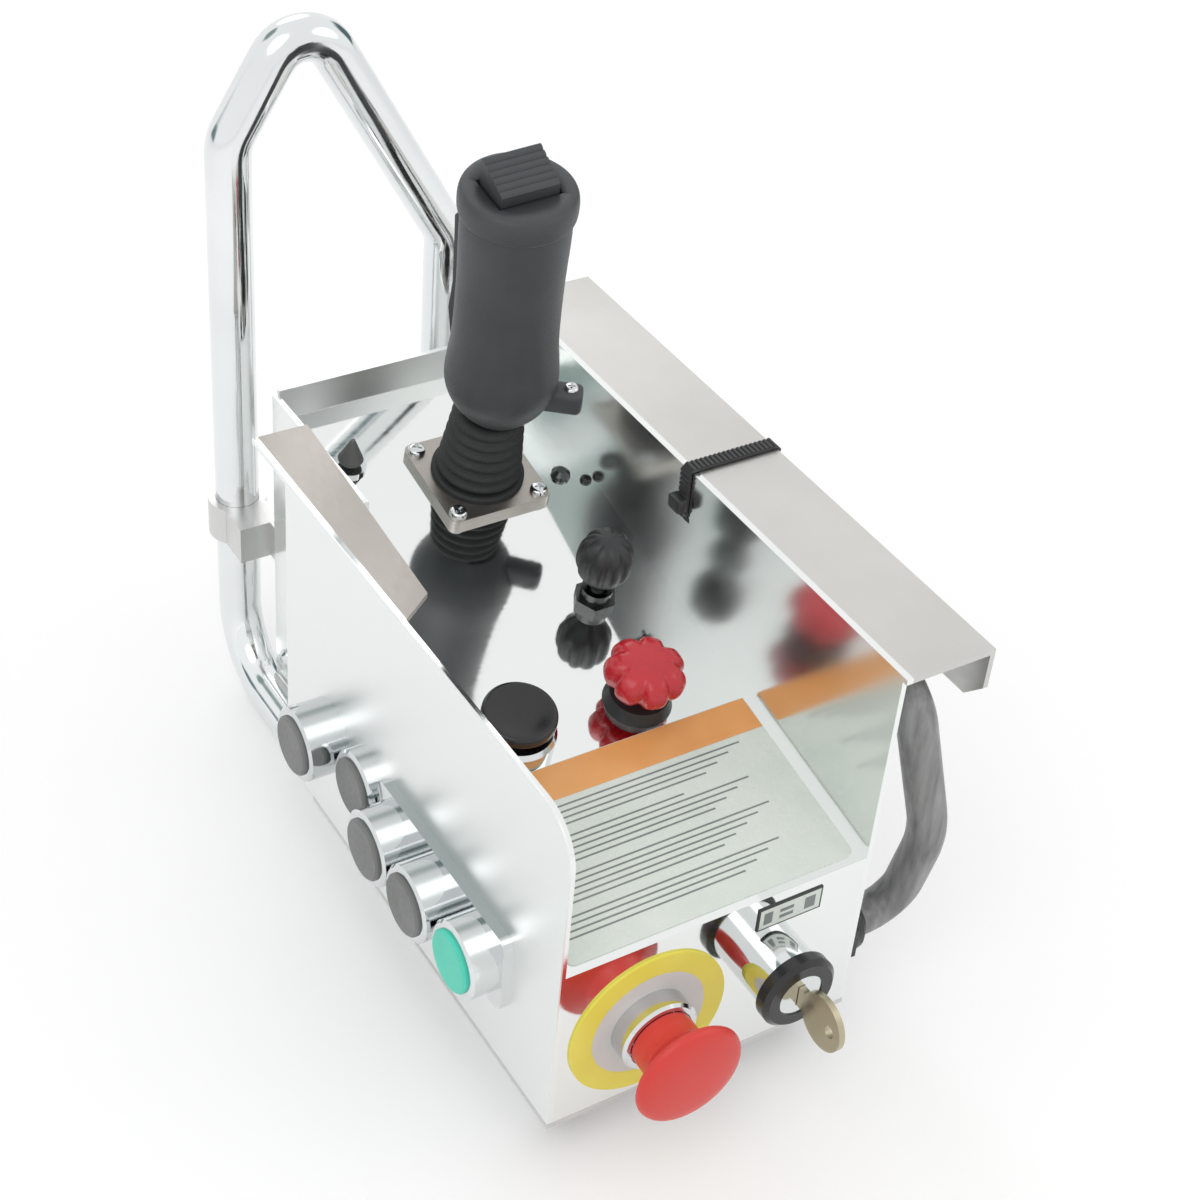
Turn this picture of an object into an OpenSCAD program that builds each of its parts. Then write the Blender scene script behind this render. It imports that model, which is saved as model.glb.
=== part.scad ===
// Platform control box of a scissor lift: a folded steel housing between two side plates,
// on a bent tube that is both its runners and its carrying hoop.
// Box frame: x across from the middle of the housing, y rearwards from the front face,
// z upwards from the lower edge of the side plates. Millimetres.

/* [Housing] */
// Width over the two side plates
housing_w = 122; // [116:1:140]
// Depth from the front face to the rear wall
housing_d = 254; // [248:1:280]
// Height of the front face
front_h = 70; // [66:1:80]
// Slope of the control panel
panel_angle = 11.5; // [9:0.5:13]
// Thickness of the folded sheet
sheet_t = 2; // [1.5:0.1:2.5]
// Height of the rear wall's rim above the end of the panel
rim_h = 12.3; // [8:0.1:18]

/* [Side plates] */
// Depth of the left plate
left_d = 200; // [196:1:206]
// Height of the right plate
right_h = 150; // [145:1:160]
// Width of the folded flange on the right plate
right_flange_w = 34; // [32:1:40]
// Depth of the lip on that flange
lip_h = 24; // [20:1:26]
// Width of the flange on the left plate at its rear end
left_flange_w = 22; // [18:1:24]

/* [Hoop] */
// Outside diameter of the tube
tube_d = 17; // [15:0.5:19]
// Wall of the tube
tube_wall = 2; // [1.5:0.1:3]
// Distance between the two legs
leg_pitch = 90; // [84:1:92]
// Gap from the rear wall to the middle of the legs
leg_back = 26; // [22:1:34]
// Height of the corner at the top of the left leg
left_corner_h = 224; // [205:1:240]
// Height of the peak
peak_h = 272; // [250:1:290]
// Height of the corner at the top of the right leg
right_corner_h = 168; // [160:1:185]

/* [Joystick] */
// Height of the joystick above the panel
stick_h = 147; // [140:1:160]
// Radius of the grip
grip_r = 19.4; // [18:0.1:21]
// Side of the square mounting plate
stick_plate_w = 42; // [40:1:44]

/* [Controls] */
// Diameter of the emergency stop's ring
ring_d = 60; // [50:1:62]
// Diameter of the emergency stop's head
mushroom_d = 40; // [36:1:44]
// Pitch of the five side buttons
button_pitch = 29.7; // [29:0.1:32]
// Outside diameter of a button's collar
collar_d = 28.4; // [27:0.1:28.8]
// Radius of the threaded barrel of a control
barrel_r = 11; // [10.5:0.1:11.2]
// Diameter of the harness lead
lead_d = 14; // [12:0.5:15]

/* [Hidden] */
$fn = 72;

// Shared clearances
run_c = 0.05;
hole_c = 0.3;
seat_c = 0.3;
over = 1;

// Shared places
half_w = housing_w / 2;
inner_x = half_w - sheet_t;
cover_t = 2.5;
stand_h = tube_d + cover_t;
tube_r = tube_d / 2;
panel_tan = tan(panel_angle);
panel_rise = housing_d * panel_tan;
panel_len = housing_d / cos(panel_angle);
rear_h = front_h + panel_rise + rim_h;
left_h = rear_h;
pocket_w = left_flange_w;
pocket_y = left_d - pocket_w;
pocket_x = -half_w + pocket_w;

// Left plate
corner_r = 18;
left_flange_start_share = 0.55;
left_flange_y = left_flange_start_share * left_d;
left_flange_end_share = 0.52;
left_flange_end = left_d + left_flange_end_share * (housing_d - left_d);
left_flange_rake = 11;
left_flange_front_share = 0.68;
button_y = 43;
button_z = 45;
button_count = 5;

// Right plate
right_lead = 2;
lip_cut = 8;
tie_share = 0.492;
tie_y = tie_share * housing_d;
tie_w = 5.5;
tie_t = 1.6;
tie_hang = 17.5;
tie_slot_c = 1;
gland_y = 14;
gland_z = 22;

// Controls on the front and on the panel, as x and the distance up the slope or the height
estop_x = -25;
estop_z = 33;
key_x = 22;
key_z = 41;
horn_x = -29;
knob_x = 20;
toggle_x = 29;
small_x = -25;
led_x = 48.2;
stick_x = 17.5;
// Shares of the panel's length: horn, knob, toggle, small toggle, lamp, joystick
panel_shares = [0.347, 0.343, 0.521, 0.872, 0.751, 0.791];
horn_u = panel_shares[0] * panel_len;
knob_u = panel_shares[1] * panel_len;
toggle_u = panel_shares[2] * panel_len;
small_u = panel_shares[3] * panel_len;
led_u = panel_shares[4] * panel_len;
stick_u = panel_shares[5] * panel_len;

// Panel places
module on_panel(x, u) {
    translate([x, u * cos(panel_angle), front_h + u * sin(panel_angle)])
        rotate([panel_angle, 0, 0])
            children();
}

module on_front(x, z) {
    translate([x, 0, z]) rotate([90, 0, 0]) children();
}

module on_left(y, z) {
    translate([-half_w, y, z]) rotate([0, -90, 0]) children();
}

module on_right(y, z) {
    translate([half_w, y, z]) rotate([0, 90, 0]) children();
}

// A solid of revolution about z from its half outline
module turned(outline) {
    rotate_extrude() polygon(outline);
}

// A cylinder from one height to another
module rod(r, z0, z1) {
    translate([0, 0, z0]) cylinder(r = r, h = z1 - z0);
}

// A ring from one height to another
module ring(r_out, r_in, z0, z1) {
    difference() {
        rod(r_out, z0, z1);
        rod(r_in, z0 - over, z1 + over);
    }
}

// A box centred in x and y, from one height to another
module block(wx, wy, z0, z1) {
    translate([-wx / 2, -wy / 2, z0]) cube([wx, wy, z1 - z0]);
}

// The same box with round upright corners
module round_block(wx, wy, r, z0, z1) {
    block(wx - 2 * r, wy, z0, z1);
    block(wx, wy - 2 * r, z0, z1);
    for (a = [-1, 1], b = [-1, 1])
        translate([a * (wx / 2 - r), b * (wy / 2 - r), 0]) rod(r, z0, z1);
}

function unit(v) = v / norm(v);
function square_to(v) = unit(cross(v, abs(v[2]) < 0.9 * norm(v) ? [0, 0, 1] : [1, 0, 0]));
function turn_between(u, v) = acos(max(-1, min(1, unit(u) * unit(v))));

// The middle line of a tube through the points of a line, each inner corner bent to its own
// radius, as pairs of a point and a direction
bend_step = 11.25;

function run_dir(line, i) = unit(line[i + 1] - line[i]);
function bend_turn(line, i) = turn_between(run_dir(line, i - 1), run_dir(line, i));
function bend_centre(line, bends, i) =
    line[i] + unit(run_dir(line, i) - run_dir(line, i - 1)) * bends[i] / cos(bend_turn(line, i) / 2);
function bend_start(line, bends, i) =
    line[i] - run_dir(line, i - 1) * bends[i] * tan(bend_turn(line, i) / 2);
function on_bend(centre, ex, ey, bend, a) =
    [centre + bend * (cos(a) * ex + sin(a) * ey), cos(a) * ey - sin(a) * ex];
function bend_path(line, bends, i) =
    let (turn = bend_turn(line, i), steps = ceil(turn / bend_step), centre = bend_centre(line, bends, i))
    [for (k = [0 : steps])
        on_bend(centre, unit(bend_start(line, bends, i) - centre), run_dir(line, i - 1), bends[i],
            turn * k / steps)];
function tube_path(line, bends) =
    let (last = len(line) - 1)
    concat([[line[0], run_dir(line, 0)]],
        [for (i = [1 : last - 1]) each bend_path(line, bends, i)],
        [[line[last], run_dir(line, last - 1)]]);

// A side direction carried along the path without twist
function carried(path, i, n) =
    i == len(path) ? [] :
    let (m = unit(n - (n * path[i][1]) * path[i][1])) concat([m], carried(path, i + 1, m));

// A round tube along the path, as one closed skin
module bent_tube(line, bends, r, sides) {
    path = tube_path(line, bends);
    normals = carried(path, 0, square_to(path[0][1]));
    rings = len(path);
    function at(i, k) = i * sides + k % sides;
    polyhedron(
        points = [for (i = [0 : rings - 1], k = [0 : sides - 1])
            path[i][0] + r * (cos(360 * k / sides) * normals[i]
                + sin(360 * k / sides) * cross(path[i][1], normals[i]))],
        faces = concat(
            [for (i = [0 : rings - 2], k = [0 : sides - 1]) each
                [[at(i, k), at(i + 1, k), at(i + 1, k + 1)], [at(i, k), at(i + 1, k + 1), at(i, k + 1)]]],
            [for (k = [1 : sides - 2]) [0, k, k + 1]],
            [for (k = [1 : sides - 2]) [at(rings - 1, 0), at(rings - 1, k + 1), at(rings - 1, k)]]));
}

// Left plate: five round holes, a round top corner and a raked flange folded inwards
module plate_outline(d, h, r) {
    square([d, h - r]);
    translate([r, 0]) square([d - r, h]);
    translate([r, h - r]) circle(r = r);
}

module side_plate_left() {
    color("gainsboro") {
        difference() {
            translate([-half_w, 0, 0])
                rotate([90, 0, 90])
                    linear_extrude(sheet_t) plate_outline(left_d, left_h, corner_r);
            for (i = [0 : button_count - 1])
                on_left(button_y + i * button_pitch, button_z)
                    rod(barrel_r + hole_c, -sheet_t - over, over);
        }
        translate([-half_w, 0, left_h - sheet_t])
            linear_extrude(sheet_t)
                polygon([[0, left_flange_y],
                    [left_flange_front_share * left_flange_w, left_flange_y + left_flange_rake],
                    [left_flange_w, left_flange_end],
                    [0, left_flange_end]]);
    }
}

// Right plate: a flange folded outwards along its whole top, with a lip turned down
module lip_outline() {
    polygon([[-right_lead, right_h],
        [-right_lead, right_h - lip_h + lip_cut],
        [lip_cut - right_lead, right_h - lip_h],
        [housing_d, right_h - lip_h],
        [housing_d, right_h]]);
}

module side_plate_right() {
    color("gainsboro") difference() {
        union() {
            translate([inner_x, 0, 0]) cube([sheet_t, housing_d, right_h]);
            translate([inner_x, -right_lead, right_h - sheet_t])
                cube([right_flange_w + sheet_t, housing_d + right_lead, sheet_t]);
            translate([half_w + right_flange_w - sheet_t, 0, 0])
                rotate([90, 0, 90])
                    linear_extrude(sheet_t) lip_outline();
        }
        on_right(gland_y, gland_z) rod(gland_thread_r + hole_c, -sheet_t - over, over);
        translate([inner_x - over, tie_y - tie_w / 2 - tie_slot_c, tie_z - tie_t - 2 * tie_slot_c])
            cube([sheet_t + 2 * over, tie_w + 2 * tie_slot_c, tie_t + 3 * tie_slot_c]);
        for (p = right_screws) on_right(p[0], p[1]) rod(screw_r + hole_c, -sheet_t - over, over);
    }
}

// Folded shell: front face, sloping panel and rear wall in one sheet
shell_w = 2 * inner_x;
slope_t = sheet_t / cos(panel_angle);

function panel_z(y) = front_h + y * panel_tan;

module shell_outline() {
    polygon([[0, 0], [sheet_t, 0], [sheet_t, panel_z(sheet_t) - slope_t],
        [housing_d - sheet_t, panel_z(housing_d - sheet_t) - slope_t], [housing_d - sheet_t, 0],
        [housing_d, 0], [housing_d, rear_h], [housing_d - sheet_t, rear_h],
        [housing_d - sheet_t, panel_z(housing_d - sheet_t)], [0, front_h]]);
}

module panel_hole(x, u, r) {
    on_panel(x, u) rod(r + hole_c, -sheet_t - over, over);
}

module panel_shell() {
    color("whitesmoke") difference() {
        translate([-inner_x, 0, 0])
            rotate([90, 0, 90])
                linear_extrude(shell_w) shell_outline();
        translate([-half_w - over, pocket_y, -over])
            cube([pocket_w + over, housing_d, rear_h + 2 * over]);
        on_front(estop_x, estop_z) rod(barrel_r + hole_c, -sheet_t - over, over);
        on_front(key_x, key_z) rod(barrel_r + hole_c, -sheet_t - over, over);
        panel_hole(horn_x, horn_u, barrel_r);
        panel_hole(knob_x, knob_u, knob_thread_r);
        panel_hole(toggle_x, toggle_u, toggle_thread_r);
        panel_hole(small_x, small_u, small_thread_r);
        panel_hole(led_x, led_u, led_r);
        panel_hole(stick_x, stick_u, stick_cut_r);
        for (x = rear_screw_x)
            translate([x, housing_d, cover_screw_z]) rotate([-90, 0, 0])
                rod(screw_r + hole_c, -sheet_t - over, over);
        for (x = clamp_screw_x)
            translate([x, housing_d, clamp_z]) rotate([-90, 0, 0])
                rod(screw_r + hole_c, -sheet_t - over, over);
    }
}

// Walls of the pocket in the rear left corner, where the left runner comes out
module pocket_wall() {
    color("whitesmoke") difference() {
        union() {
            translate([pocket_x - sheet_t, pocket_y, 0])
                cube([sheet_t, housing_d - pocket_y, left_h - sheet_t]);
            translate([-inner_x, pocket_y - sheet_t, 0])
                cube([pocket_w - sheet_t, sheet_t, front_h + pocket_y * panel_tan - 2 * slope_t]);
        }
        translate([pocket_x - sheet_t, pocket_screw_y, cover_screw_z])
            rotate([0, -90, 0]) rod(screw_r + hole_c, -sheet_t - over, over);
    }
}

// Bottom cover with upturned edges, which the cover screws hold
cover_edge_h = 20;
cover_edge_y = 40;
cover_screw_z = 12;
screw_r = 2;
screw_head_r = 3.4;
screw_head_h = 2.4;
screw_l = 8;
pocket_screw_in = 10;
pocket_screw_y = housing_d - pocket_screw_in;
rear_screw_x = [-20, 40];
right_screw_shares = [0.24, 0.53, 0.83];
right_screws = [for (s = right_screw_shares) [s * housing_d, cover_screw_z]];

module bottom_cover() {
    color("silver") difference() {
        union() {
            translate([-half_w, 0, -cover_t]) cube([housing_w, housing_d, cover_t]);
            translate([inner_x - sheet_t, cover_edge_y, -over])
                cube([sheet_t, housing_d - sheet_t - cover_edge_y, cover_edge_h + over]);
            translate([pocket_x, housing_d - 2 * sheet_t, -over])
                cube([inner_x - pocket_x, sheet_t, cover_edge_h + over]);
            translate([pocket_x, pocket_y, -over])
                cube([sheet_t, housing_d - pocket_y - sheet_t, cover_edge_h + over]);
        }
        translate([-half_w - over, pocket_y, -cover_t - over])
            cube([pocket_w - sheet_t + over, housing_d, cover_edge_h]);
        for (x = leg_x, y = skid_bolt_y) translate([x, y, 0]) rod(bolt_r + hole_c, -cover_t - over, over);
        for (p = right_screws) on_right(p[0], p[1]) rod(screw_r, -3 * sheet_t, over);
        for (x = rear_screw_x)
            translate([x, housing_d, cover_screw_z]) rotate([-90, 0, 0])
                rod(screw_r, -3 * sheet_t, over);
        translate([pocket_x, pocket_screw_y, cover_screw_z])
            rotate([0, -90, 0]) rod(screw_r, -3 * sheet_t, over);
    }
}

// A pan head screw whose head sits on z = 0
module pan_screw(l) {
    turned([[0, -l], [screw_r, -l], [screw_r, 0], [screw_head_r, 0],
        [screw_head_r, screw_head_h / 2], [screw_head_r / 2, screw_head_h], [0, screw_head_h]]);
}

module cover_screws() {
    color("silver") {
        for (p = right_screws) on_right(p[0], p[1]) pan_screw(screw_l);
        for (x = rear_screw_x)
            translate([x, housing_d, cover_screw_z]) rotate([-90, 0, 0]) pan_screw(screw_l);
        translate([pocket_x - sheet_t, pocket_screw_y, cover_screw_z])
            rotate([0, -90, 0]) pan_screw(screw_l);
    }
}

// Bent tube: a runner under each side, a leg up from each and the off-centre peak between them
skid_z = -cover_t - tube_r;
leg_x = [-leg_pitch / 2, leg_pitch / 2];
leg_y = housing_d + leg_back;
skid_start = 16;
heel_bend = 30;
tube_sides = 24;
tube_bore_l = 60;
lead_sides = 16;
top_bend = 20;
peak_share = 0.33;
peak_bend = 14;
peak_x = leg_x[0] + peak_share * leg_pitch;
skid_bolt_shares = [0.16, 0.59];
skid_bolt_y = [for (s = skid_bolt_shares) s * housing_d];
bolt_r = 3;
bolt_head_r = 5;
bolt_head_h = 3.5;
bolt_reach = 7;

tube_line = [[leg_x[0], skid_start, skid_z], [leg_x[0], leg_y, skid_z],
    [leg_x[0], leg_y, left_corner_h], [peak_x, leg_y, peak_h],
    [leg_x[1], leg_y, right_corner_h], [leg_x[1], leg_y, skid_z],
    [leg_x[1], skid_start, skid_z]];
tube_bends = [0, heel_bend, top_bend, peak_bend, top_bend, heel_bend, 0];

module hoop_frame() {
    color("silver") difference() {
        bent_tube(tube_line, tube_bends, tube_r, tube_sides);
        for (x = leg_x) translate([x, skid_start, skid_z]) rotate([90, 0, 0])
            rod(tube_r - tube_wall, -tube_bore_l, over);
        for (x = leg_x, y = skid_bolt_y) translate([x, y, skid_z]) rod(bolt_r + hole_c, 0, tube_d);
    }
}

// Plastic plugs in the open front ends of the runners
plug_l = 12;
plug_head_l = 2.5;

module tube_plugs() {
    color("dimgray") for (x = leg_x)
        translate([x, skid_start, skid_z]) rotate([90, 0, 0]) {
            rod(tube_r - tube_wall, -plug_l, 0);
            turned([[0, 0], [tube_r, 0], [tube_r, plug_head_l / 2], [tube_r - plug_head_l / 2, plug_head_l], [0, plug_head_l]]);
        }
}

// A clamp on each leg, screwed to the rear wall
clamp_z = 62;
clamp_h = 16;
clamp_wall = 3;
clamp_foot_w = 32;
clamp_foot_t = 3;
clamp_screw_dx = 12;
clamp_screw_x = [for (x = leg_x, s = [-1, 1]) if (x + s * clamp_screw_dx > pocket_x) x + s * clamp_screw_dx];

module hoop_clamps() {
    color("silver") for (x = leg_x)
        translate([x, leg_y, clamp_z]) difference() {
            union() {
                rod(tube_r + clamp_wall, -clamp_h / 2, clamp_h / 2);
                translate([-tube_r, -leg_back, -clamp_h / 2]) cube([tube_d, leg_back, clamp_h]);
                translate([-clamp_foot_w / 2, -leg_back, -clamp_h / 2])
                    cube([clamp_foot_w, clamp_foot_t, clamp_h]);
            }
            rod(tube_r + run_c, -clamp_h, clamp_h);
            for (s = [-1, 1])
                translate([s * clamp_screw_dx, -leg_back, 0]) rotate([-90, 0, 0])
                    rod(screw_r + hole_c, -over, clamp_foot_t + over);
            if (x < 0) translate([-clamp_foot_w, -leg_back - over, -clamp_h])
                cube([clamp_foot_w + pocket_x - sheet_t - x, clamp_foot_t + 2 * over, 2 * clamp_h]);
        }
}

module clamp_screws() {
    color("silver") for (x = clamp_screw_x)
        translate([x, housing_d + clamp_foot_t, clamp_z])
            rotate([-90, 0, 0]) pan_screw(clamp_foot_t + sheet_t);
}

module skid_bolts() {
    color("silver") for (x = leg_x, y = skid_bolt_y) translate([x, y, 0]) {
        rod(bolt_r, -cover_t - bolt_reach, 0);
        rod(bolt_head_r, 0, bolt_head_h);
    }
}

// Bare placard on the panel and a small bare legend over the key
placard_t = 0.5;
placard_margin = 3;
placard_len = horn_u - collar_d / 2 - seat_c - placard_margin;
legend_w = 26;
legend_h = 10;
legend_rise = 17;

module placard() {
    color("sandybrown") on_panel(0, placard_margin + placard_len / 2)
        round_block(shell_w - 2 * placard_margin, placard_len, placard_margin, 0, placard_t);
}

module key_legend() {
    color("black") on_front(key_x + legend_w / 4, key_z + legend_rise + legend_h / 4)
        block(legend_w, legend_h, 0, placard_t);
}

// Emergency stop
ring_t = 1;
collar_top = 9;
collar_r = 14.5;
neck_r = 11.6;
neck_z = 9.2;
neck_well = 4;
stem_r = 8.3;
stem_top = 16;
barrel_l = 34;
stop_travel = 4;
head_rim_z = 24.5;
head_top = 30;
contact_h = 15;
contact_w = 27;
contact_l = 38;

module estop_ring() {
    color("gold") on_front(estop_x, estop_z) ring(ring_d / 2, barrel_r + hole_c, 0, ring_t);
}

module estop_body() {
    color("silver") on_front(estop_x, estop_z)
        turned([[stem_r + run_c, -barrel_l], [barrel_r, -barrel_l], [barrel_r, ring_t],
            [collar_r, ring_t], [collar_r, collar_top - ring_t], [collar_r - ring_t, collar_top],
            [neck_r + hole_c, collar_top], [neck_r + hole_c, neck_well], [stem_r + run_c, neck_well]]);
}

module estop_stem() {
    color("dimgray") on_front(estop_x, estop_z) rod(stem_r, stop_travel + seat_c - barrel_l, stem_top);
}

module estop_head() {
    mushroom_r = mushroom_d / 2;
    color("red") on_front(estop_x, estop_z) difference() {
        turned([[0, neck_z], [neck_r, neck_z], [neck_r, neck_z + 0.55 * (head_rim_z - neck_z)],
            [0.68 * mushroom_r, neck_z + 0.72 * (head_rim_z - neck_z)],
            [0.86 * mushroom_r, neck_z + 0.9 * (head_rim_z - neck_z)],
            [mushroom_r, head_rim_z], [mushroom_r, head_rim_z + 0.3 * (head_top - head_rim_z)],
            [0.93 * mushroom_r, head_rim_z + 0.62 * (head_top - head_rim_z)],
            [0.7 * mushroom_r, head_rim_z + 0.86 * (head_top - head_rim_z)],
            [0.35 * mushroom_r, head_top], [0, head_top]]);
        rod(stem_r + run_c, 0, stem_top + seat_c);
    }
}

module estop_contacts() {
    color("dimgray") on_front(estop_x, estop_z)
        block(contact_w, contact_l, -barrel_l - contact_h, -barrel_l);
}

// Key switch
key_collar_r = 12.5;
key_collar_l = 15;
bezel_r = 14.5;
bezel_l = 5.5;
rotor_r = 8.5;
key_barrel_l = 24;
slot_w = 2.8;
slot_h = 9;
blade_c = 0.25;
blade_l = 18;
bow_r = 10.5;
bow_z = 33;
bow_hole_r = 2.4;
bow_hole_rise = 4.5;
key_face_z = key_collar_l + bezel_l - 0.5;

module key_barrel() {
    color("silver") on_front(key_x, key_z)
        turned([[rotor_r + run_c, -key_barrel_l], [barrel_r, -key_barrel_l], [barrel_r, 0],
            [key_collar_r, 0], [key_collar_r, key_collar_l], [rotor_r + run_c, key_collar_l]]);
}

module key_bezel() {
    color("black") on_front(key_x, key_z)
        turned([[rotor_r + run_c, key_collar_l], [bezel_r, key_collar_l],
            [bezel_r, key_collar_l + 0.7 * bezel_l], [0.88 * bezel_r, key_collar_l + bezel_l],
            [rotor_r + run_c, key_collar_l + bezel_l]]);
}

module key_rotor() {
    color("silver") on_front(key_x, key_z) difference() {
        rod(rotor_r, seat_c - key_barrel_l, key_face_z);
        block(slot_w, slot_h, key_face_z - blade_l - over, key_face_z + over);
    }
}

module key() {
    blade_t = slot_w - 2 * blade_c;
    color("darkkhaki") on_front(key_x, key_z) difference() {
        union() {
            block(blade_t, slot_h - 2 * blade_c, key_face_z - blade_l, bow_z);
            translate([-blade_t / 2, 0, bow_z]) rotate([0, 90, 0]) cylinder(r = bow_r, h = blade_t);
        }
        translate([-blade_t, 0, bow_z + bow_hole_rise]) rotate([0, 90, 0])
            cylinder(r = bow_hole_r, h = 2 * blade_t);
    }
}

module key_contacts() {
    color("dimgray") on_front(key_x, key_z)
        block(contact_w, contact_w, -key_barrel_l - contact_h, -key_barrel_l);
}

// Horn button and lift knob on the panel
horn_ring_top = 8;
horn_r = 13.2;
horn_head_z = 11.6;
horn_top = 16;
horn_travel = 3;
panel_barrel_l = 18;
panel_contact_w = 20;
knob_thread_r = 8;
knob_stem_r = 6;
knob_ring_r = 12.5;
knob_ring_h = 5;
knob_z = 9.5;
knob_top = 22;
knob_r = 14.6;
knob_lobes = 7;
knob_travel = 4;

module horn_bezel() {
    color("silver") on_panel(horn_x, horn_u)
        turned([[stem_r + run_c, -panel_barrel_l], [barrel_r, -panel_barrel_l], [barrel_r, 0],
            [collar_d / 2, 0], [collar_d / 2, 0.75 * horn_ring_top], [0.92 * collar_d / 2, horn_ring_top],
            [stem_r + run_c, horn_ring_top]]);
}

module horn_cap() {
    color("black") on_panel(horn_x, horn_u)
        turned([[0, horn_travel + seat_c - panel_barrel_l], [stem_r, horn_travel + seat_c - panel_barrel_l],
            [stem_r, horn_head_z], [0.97 * horn_r, horn_head_z], [horn_r, 0.5 * (horn_head_z + horn_top)],
            [0.94 * horn_r, horn_top], [0.8 * horn_r, 0.99 * horn_top], [0, 0.93 * horn_top]]);
}

module knob_base() {
    color("dimgray") on_panel(knob_x, knob_u)
        turned([[knob_stem_r + run_c, -panel_barrel_l], [knob_thread_r, -panel_barrel_l], [knob_thread_r, 0],
            [knob_ring_r, 0], [0.86 * knob_ring_r, knob_ring_h], [knob_stem_r + run_c, knob_ring_h]]);
}

module lift_knob() {
    lobe_r = 0.34 * knob_r;
    color("red") on_panel(knob_x, knob_u) {
        rod(knob_stem_r, knob_travel + seat_c - panel_barrel_l, knob_z);
        intersection() {
            union() {
                rod(0.8 * knob_r, knob_z, knob_top);
                for (i = [0 : knob_lobes - 1])
                    rotate([0, 0, 360 / knob_lobes * i]) translate([knob_r - lobe_r, 0, 0])
                        rod(lobe_r, knob_z, knob_top);
            }
            turned([[0, knob_z], [0.84 * knob_r, knob_z], [knob_r, knob_z + 0.3 * (knob_top - knob_z)],
                [knob_r, knob_z + 0.6 * (knob_top - knob_z)], [0.86 * knob_r, knob_z + 0.86 * (knob_top - knob_z)],
                [0.6 * knob_r, knob_top], [0, knob_top]]);
        }
    }
}

// Contact blocks behind the panel's two push controls
module panel_contacts() {
    color("dimgray") {
        on_panel(horn_x, horn_u)
            block(panel_contact_w, contact_w, -panel_barrel_l - contact_h, -panel_barrel_l);
        on_panel(knob_x, knob_u)
            block(panel_contact_w, contact_w, -panel_barrel_l - contact_h, -panel_barrel_l);
    }
}

// Drive and speed toggles
toggle_thread_r = 5.8;
toggle_bore = 3.7;
toggle_top = 7.4;
toggle_l = 16;
toggle_pivot = 4;
toggle_ball = 3.5;
toggle_stem_r = 1.8;
toggle_pin_r = 1.2;
toggle_pin_cover = 0.9;
toggle_pin_l = 2 * (toggle_thread_r - toggle_pin_cover);
bat_z = 9.6;
bat_r = 10.5;
bat_top = 33;
bat_flutes = 9;
flute_r = 1.8;
small_thread_r = 3;
small_disc_r = 6.2;
small_disc_h = 1.5;
small_bore = 1.9;
small_ball = 1.75;
small_l = 9;
small_stem_r = 1.1;
small_pin_r = 0.8;
small_pin_cover = 0.5;
small_pin_l = 2 * (small_thread_r - small_pin_cover);
boot_z = 3.4;
boot_r = 4.8;
boot_top = 14;

// A rod across a toggle, through its pivot
module cross_pin(r, l, z) {
    translate([0, 0, z]) rotate([0, 90, 0]) cylinder(r = r, h = l, center = true);
}

module toggle_base() {
    color("silver") on_panel(toggle_x, toggle_u) difference() {
        union() {
            rod(toggle_thread_r, -toggle_l, toggle_top);
            cylinder(r = 1.4 * toggle_thread_r, h = 0.4 * toggle_top, $fn = 6);
        }
        rod(toggle_bore, toggle_ball - toggle_l, toggle_top + over);
        cross_pin(toggle_pin_r + run_c, toggle_pin_l + 2 * seat_c, toggle_pivot);
    }
}

module toggle_lever() {
    color("black") on_panel(toggle_x, toggle_u) difference() {
        union() {
            translate([0, 0, toggle_pivot]) sphere(r = toggle_ball);
            cross_pin(toggle_pin_r, toggle_pin_l, toggle_pivot);
            rod(toggle_stem_r, toggle_pivot, bat_z + over);
            turned([[0, bat_z], [0.4 * bat_r, bat_z], [0.5 * bat_r, bat_z + 0.08 * (bat_top - bat_z)],
                [0.92 * bat_r, bat_z + 0.3 * (bat_top - bat_z)], [bat_r, bat_z + 0.5 * (bat_top - bat_z)],
                [0.94 * bat_r, bat_z + 0.78 * (bat_top - bat_z)], [0.6 * bat_r, bat_z + 0.96 * (bat_top - bat_z)],
                [0, bat_top]]);
        }
        for (i = [0 : bat_flutes - 1])
            rotate([0, 0, 360 / bat_flutes * i]) translate([1.06 * bat_r, 0, 0])
                rod(flute_r, bat_z + 0.2 * (bat_top - bat_z), bat_top);
    }
}

module small_toggle_base() {
    color("silver") on_panel(small_x, small_u) difference() {
        union() {
            rod(small_thread_r, -small_l, small_disc_h);
            rod(small_disc_r, 0, small_disc_h);
        }
        rod(small_bore, small_ball - small_l, small_disc_h + over);
        cross_pin(small_pin_r + run_c, small_pin_l + 2 * seat_c, 0);
    }
}

module small_toggle_lever() {
    color("black") on_panel(small_x, small_u) {
        sphere(r = small_ball);
        cross_pin(small_pin_r, small_pin_l, 0);
        rod(small_stem_r, 0, boot_z + over);
        turned([[0, boot_z], [0.9 * boot_r, boot_z], [boot_r, boot_z + 0.1 * (boot_top - boot_z)],
            [0.3 * boot_r, boot_z + 0.85 * (boot_top - boot_z)], [0.15 * boot_r, boot_top], [0, boot_top]]);
    }
}

// Ring nuts behind every panel-mounted control
nut_h = 4;
nut_wall = 3;

module lock_nut(thread_r) {
    ring(thread_r + nut_wall, thread_r + run_c, -sheet_t - nut_h, -sheet_t);
}

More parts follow.
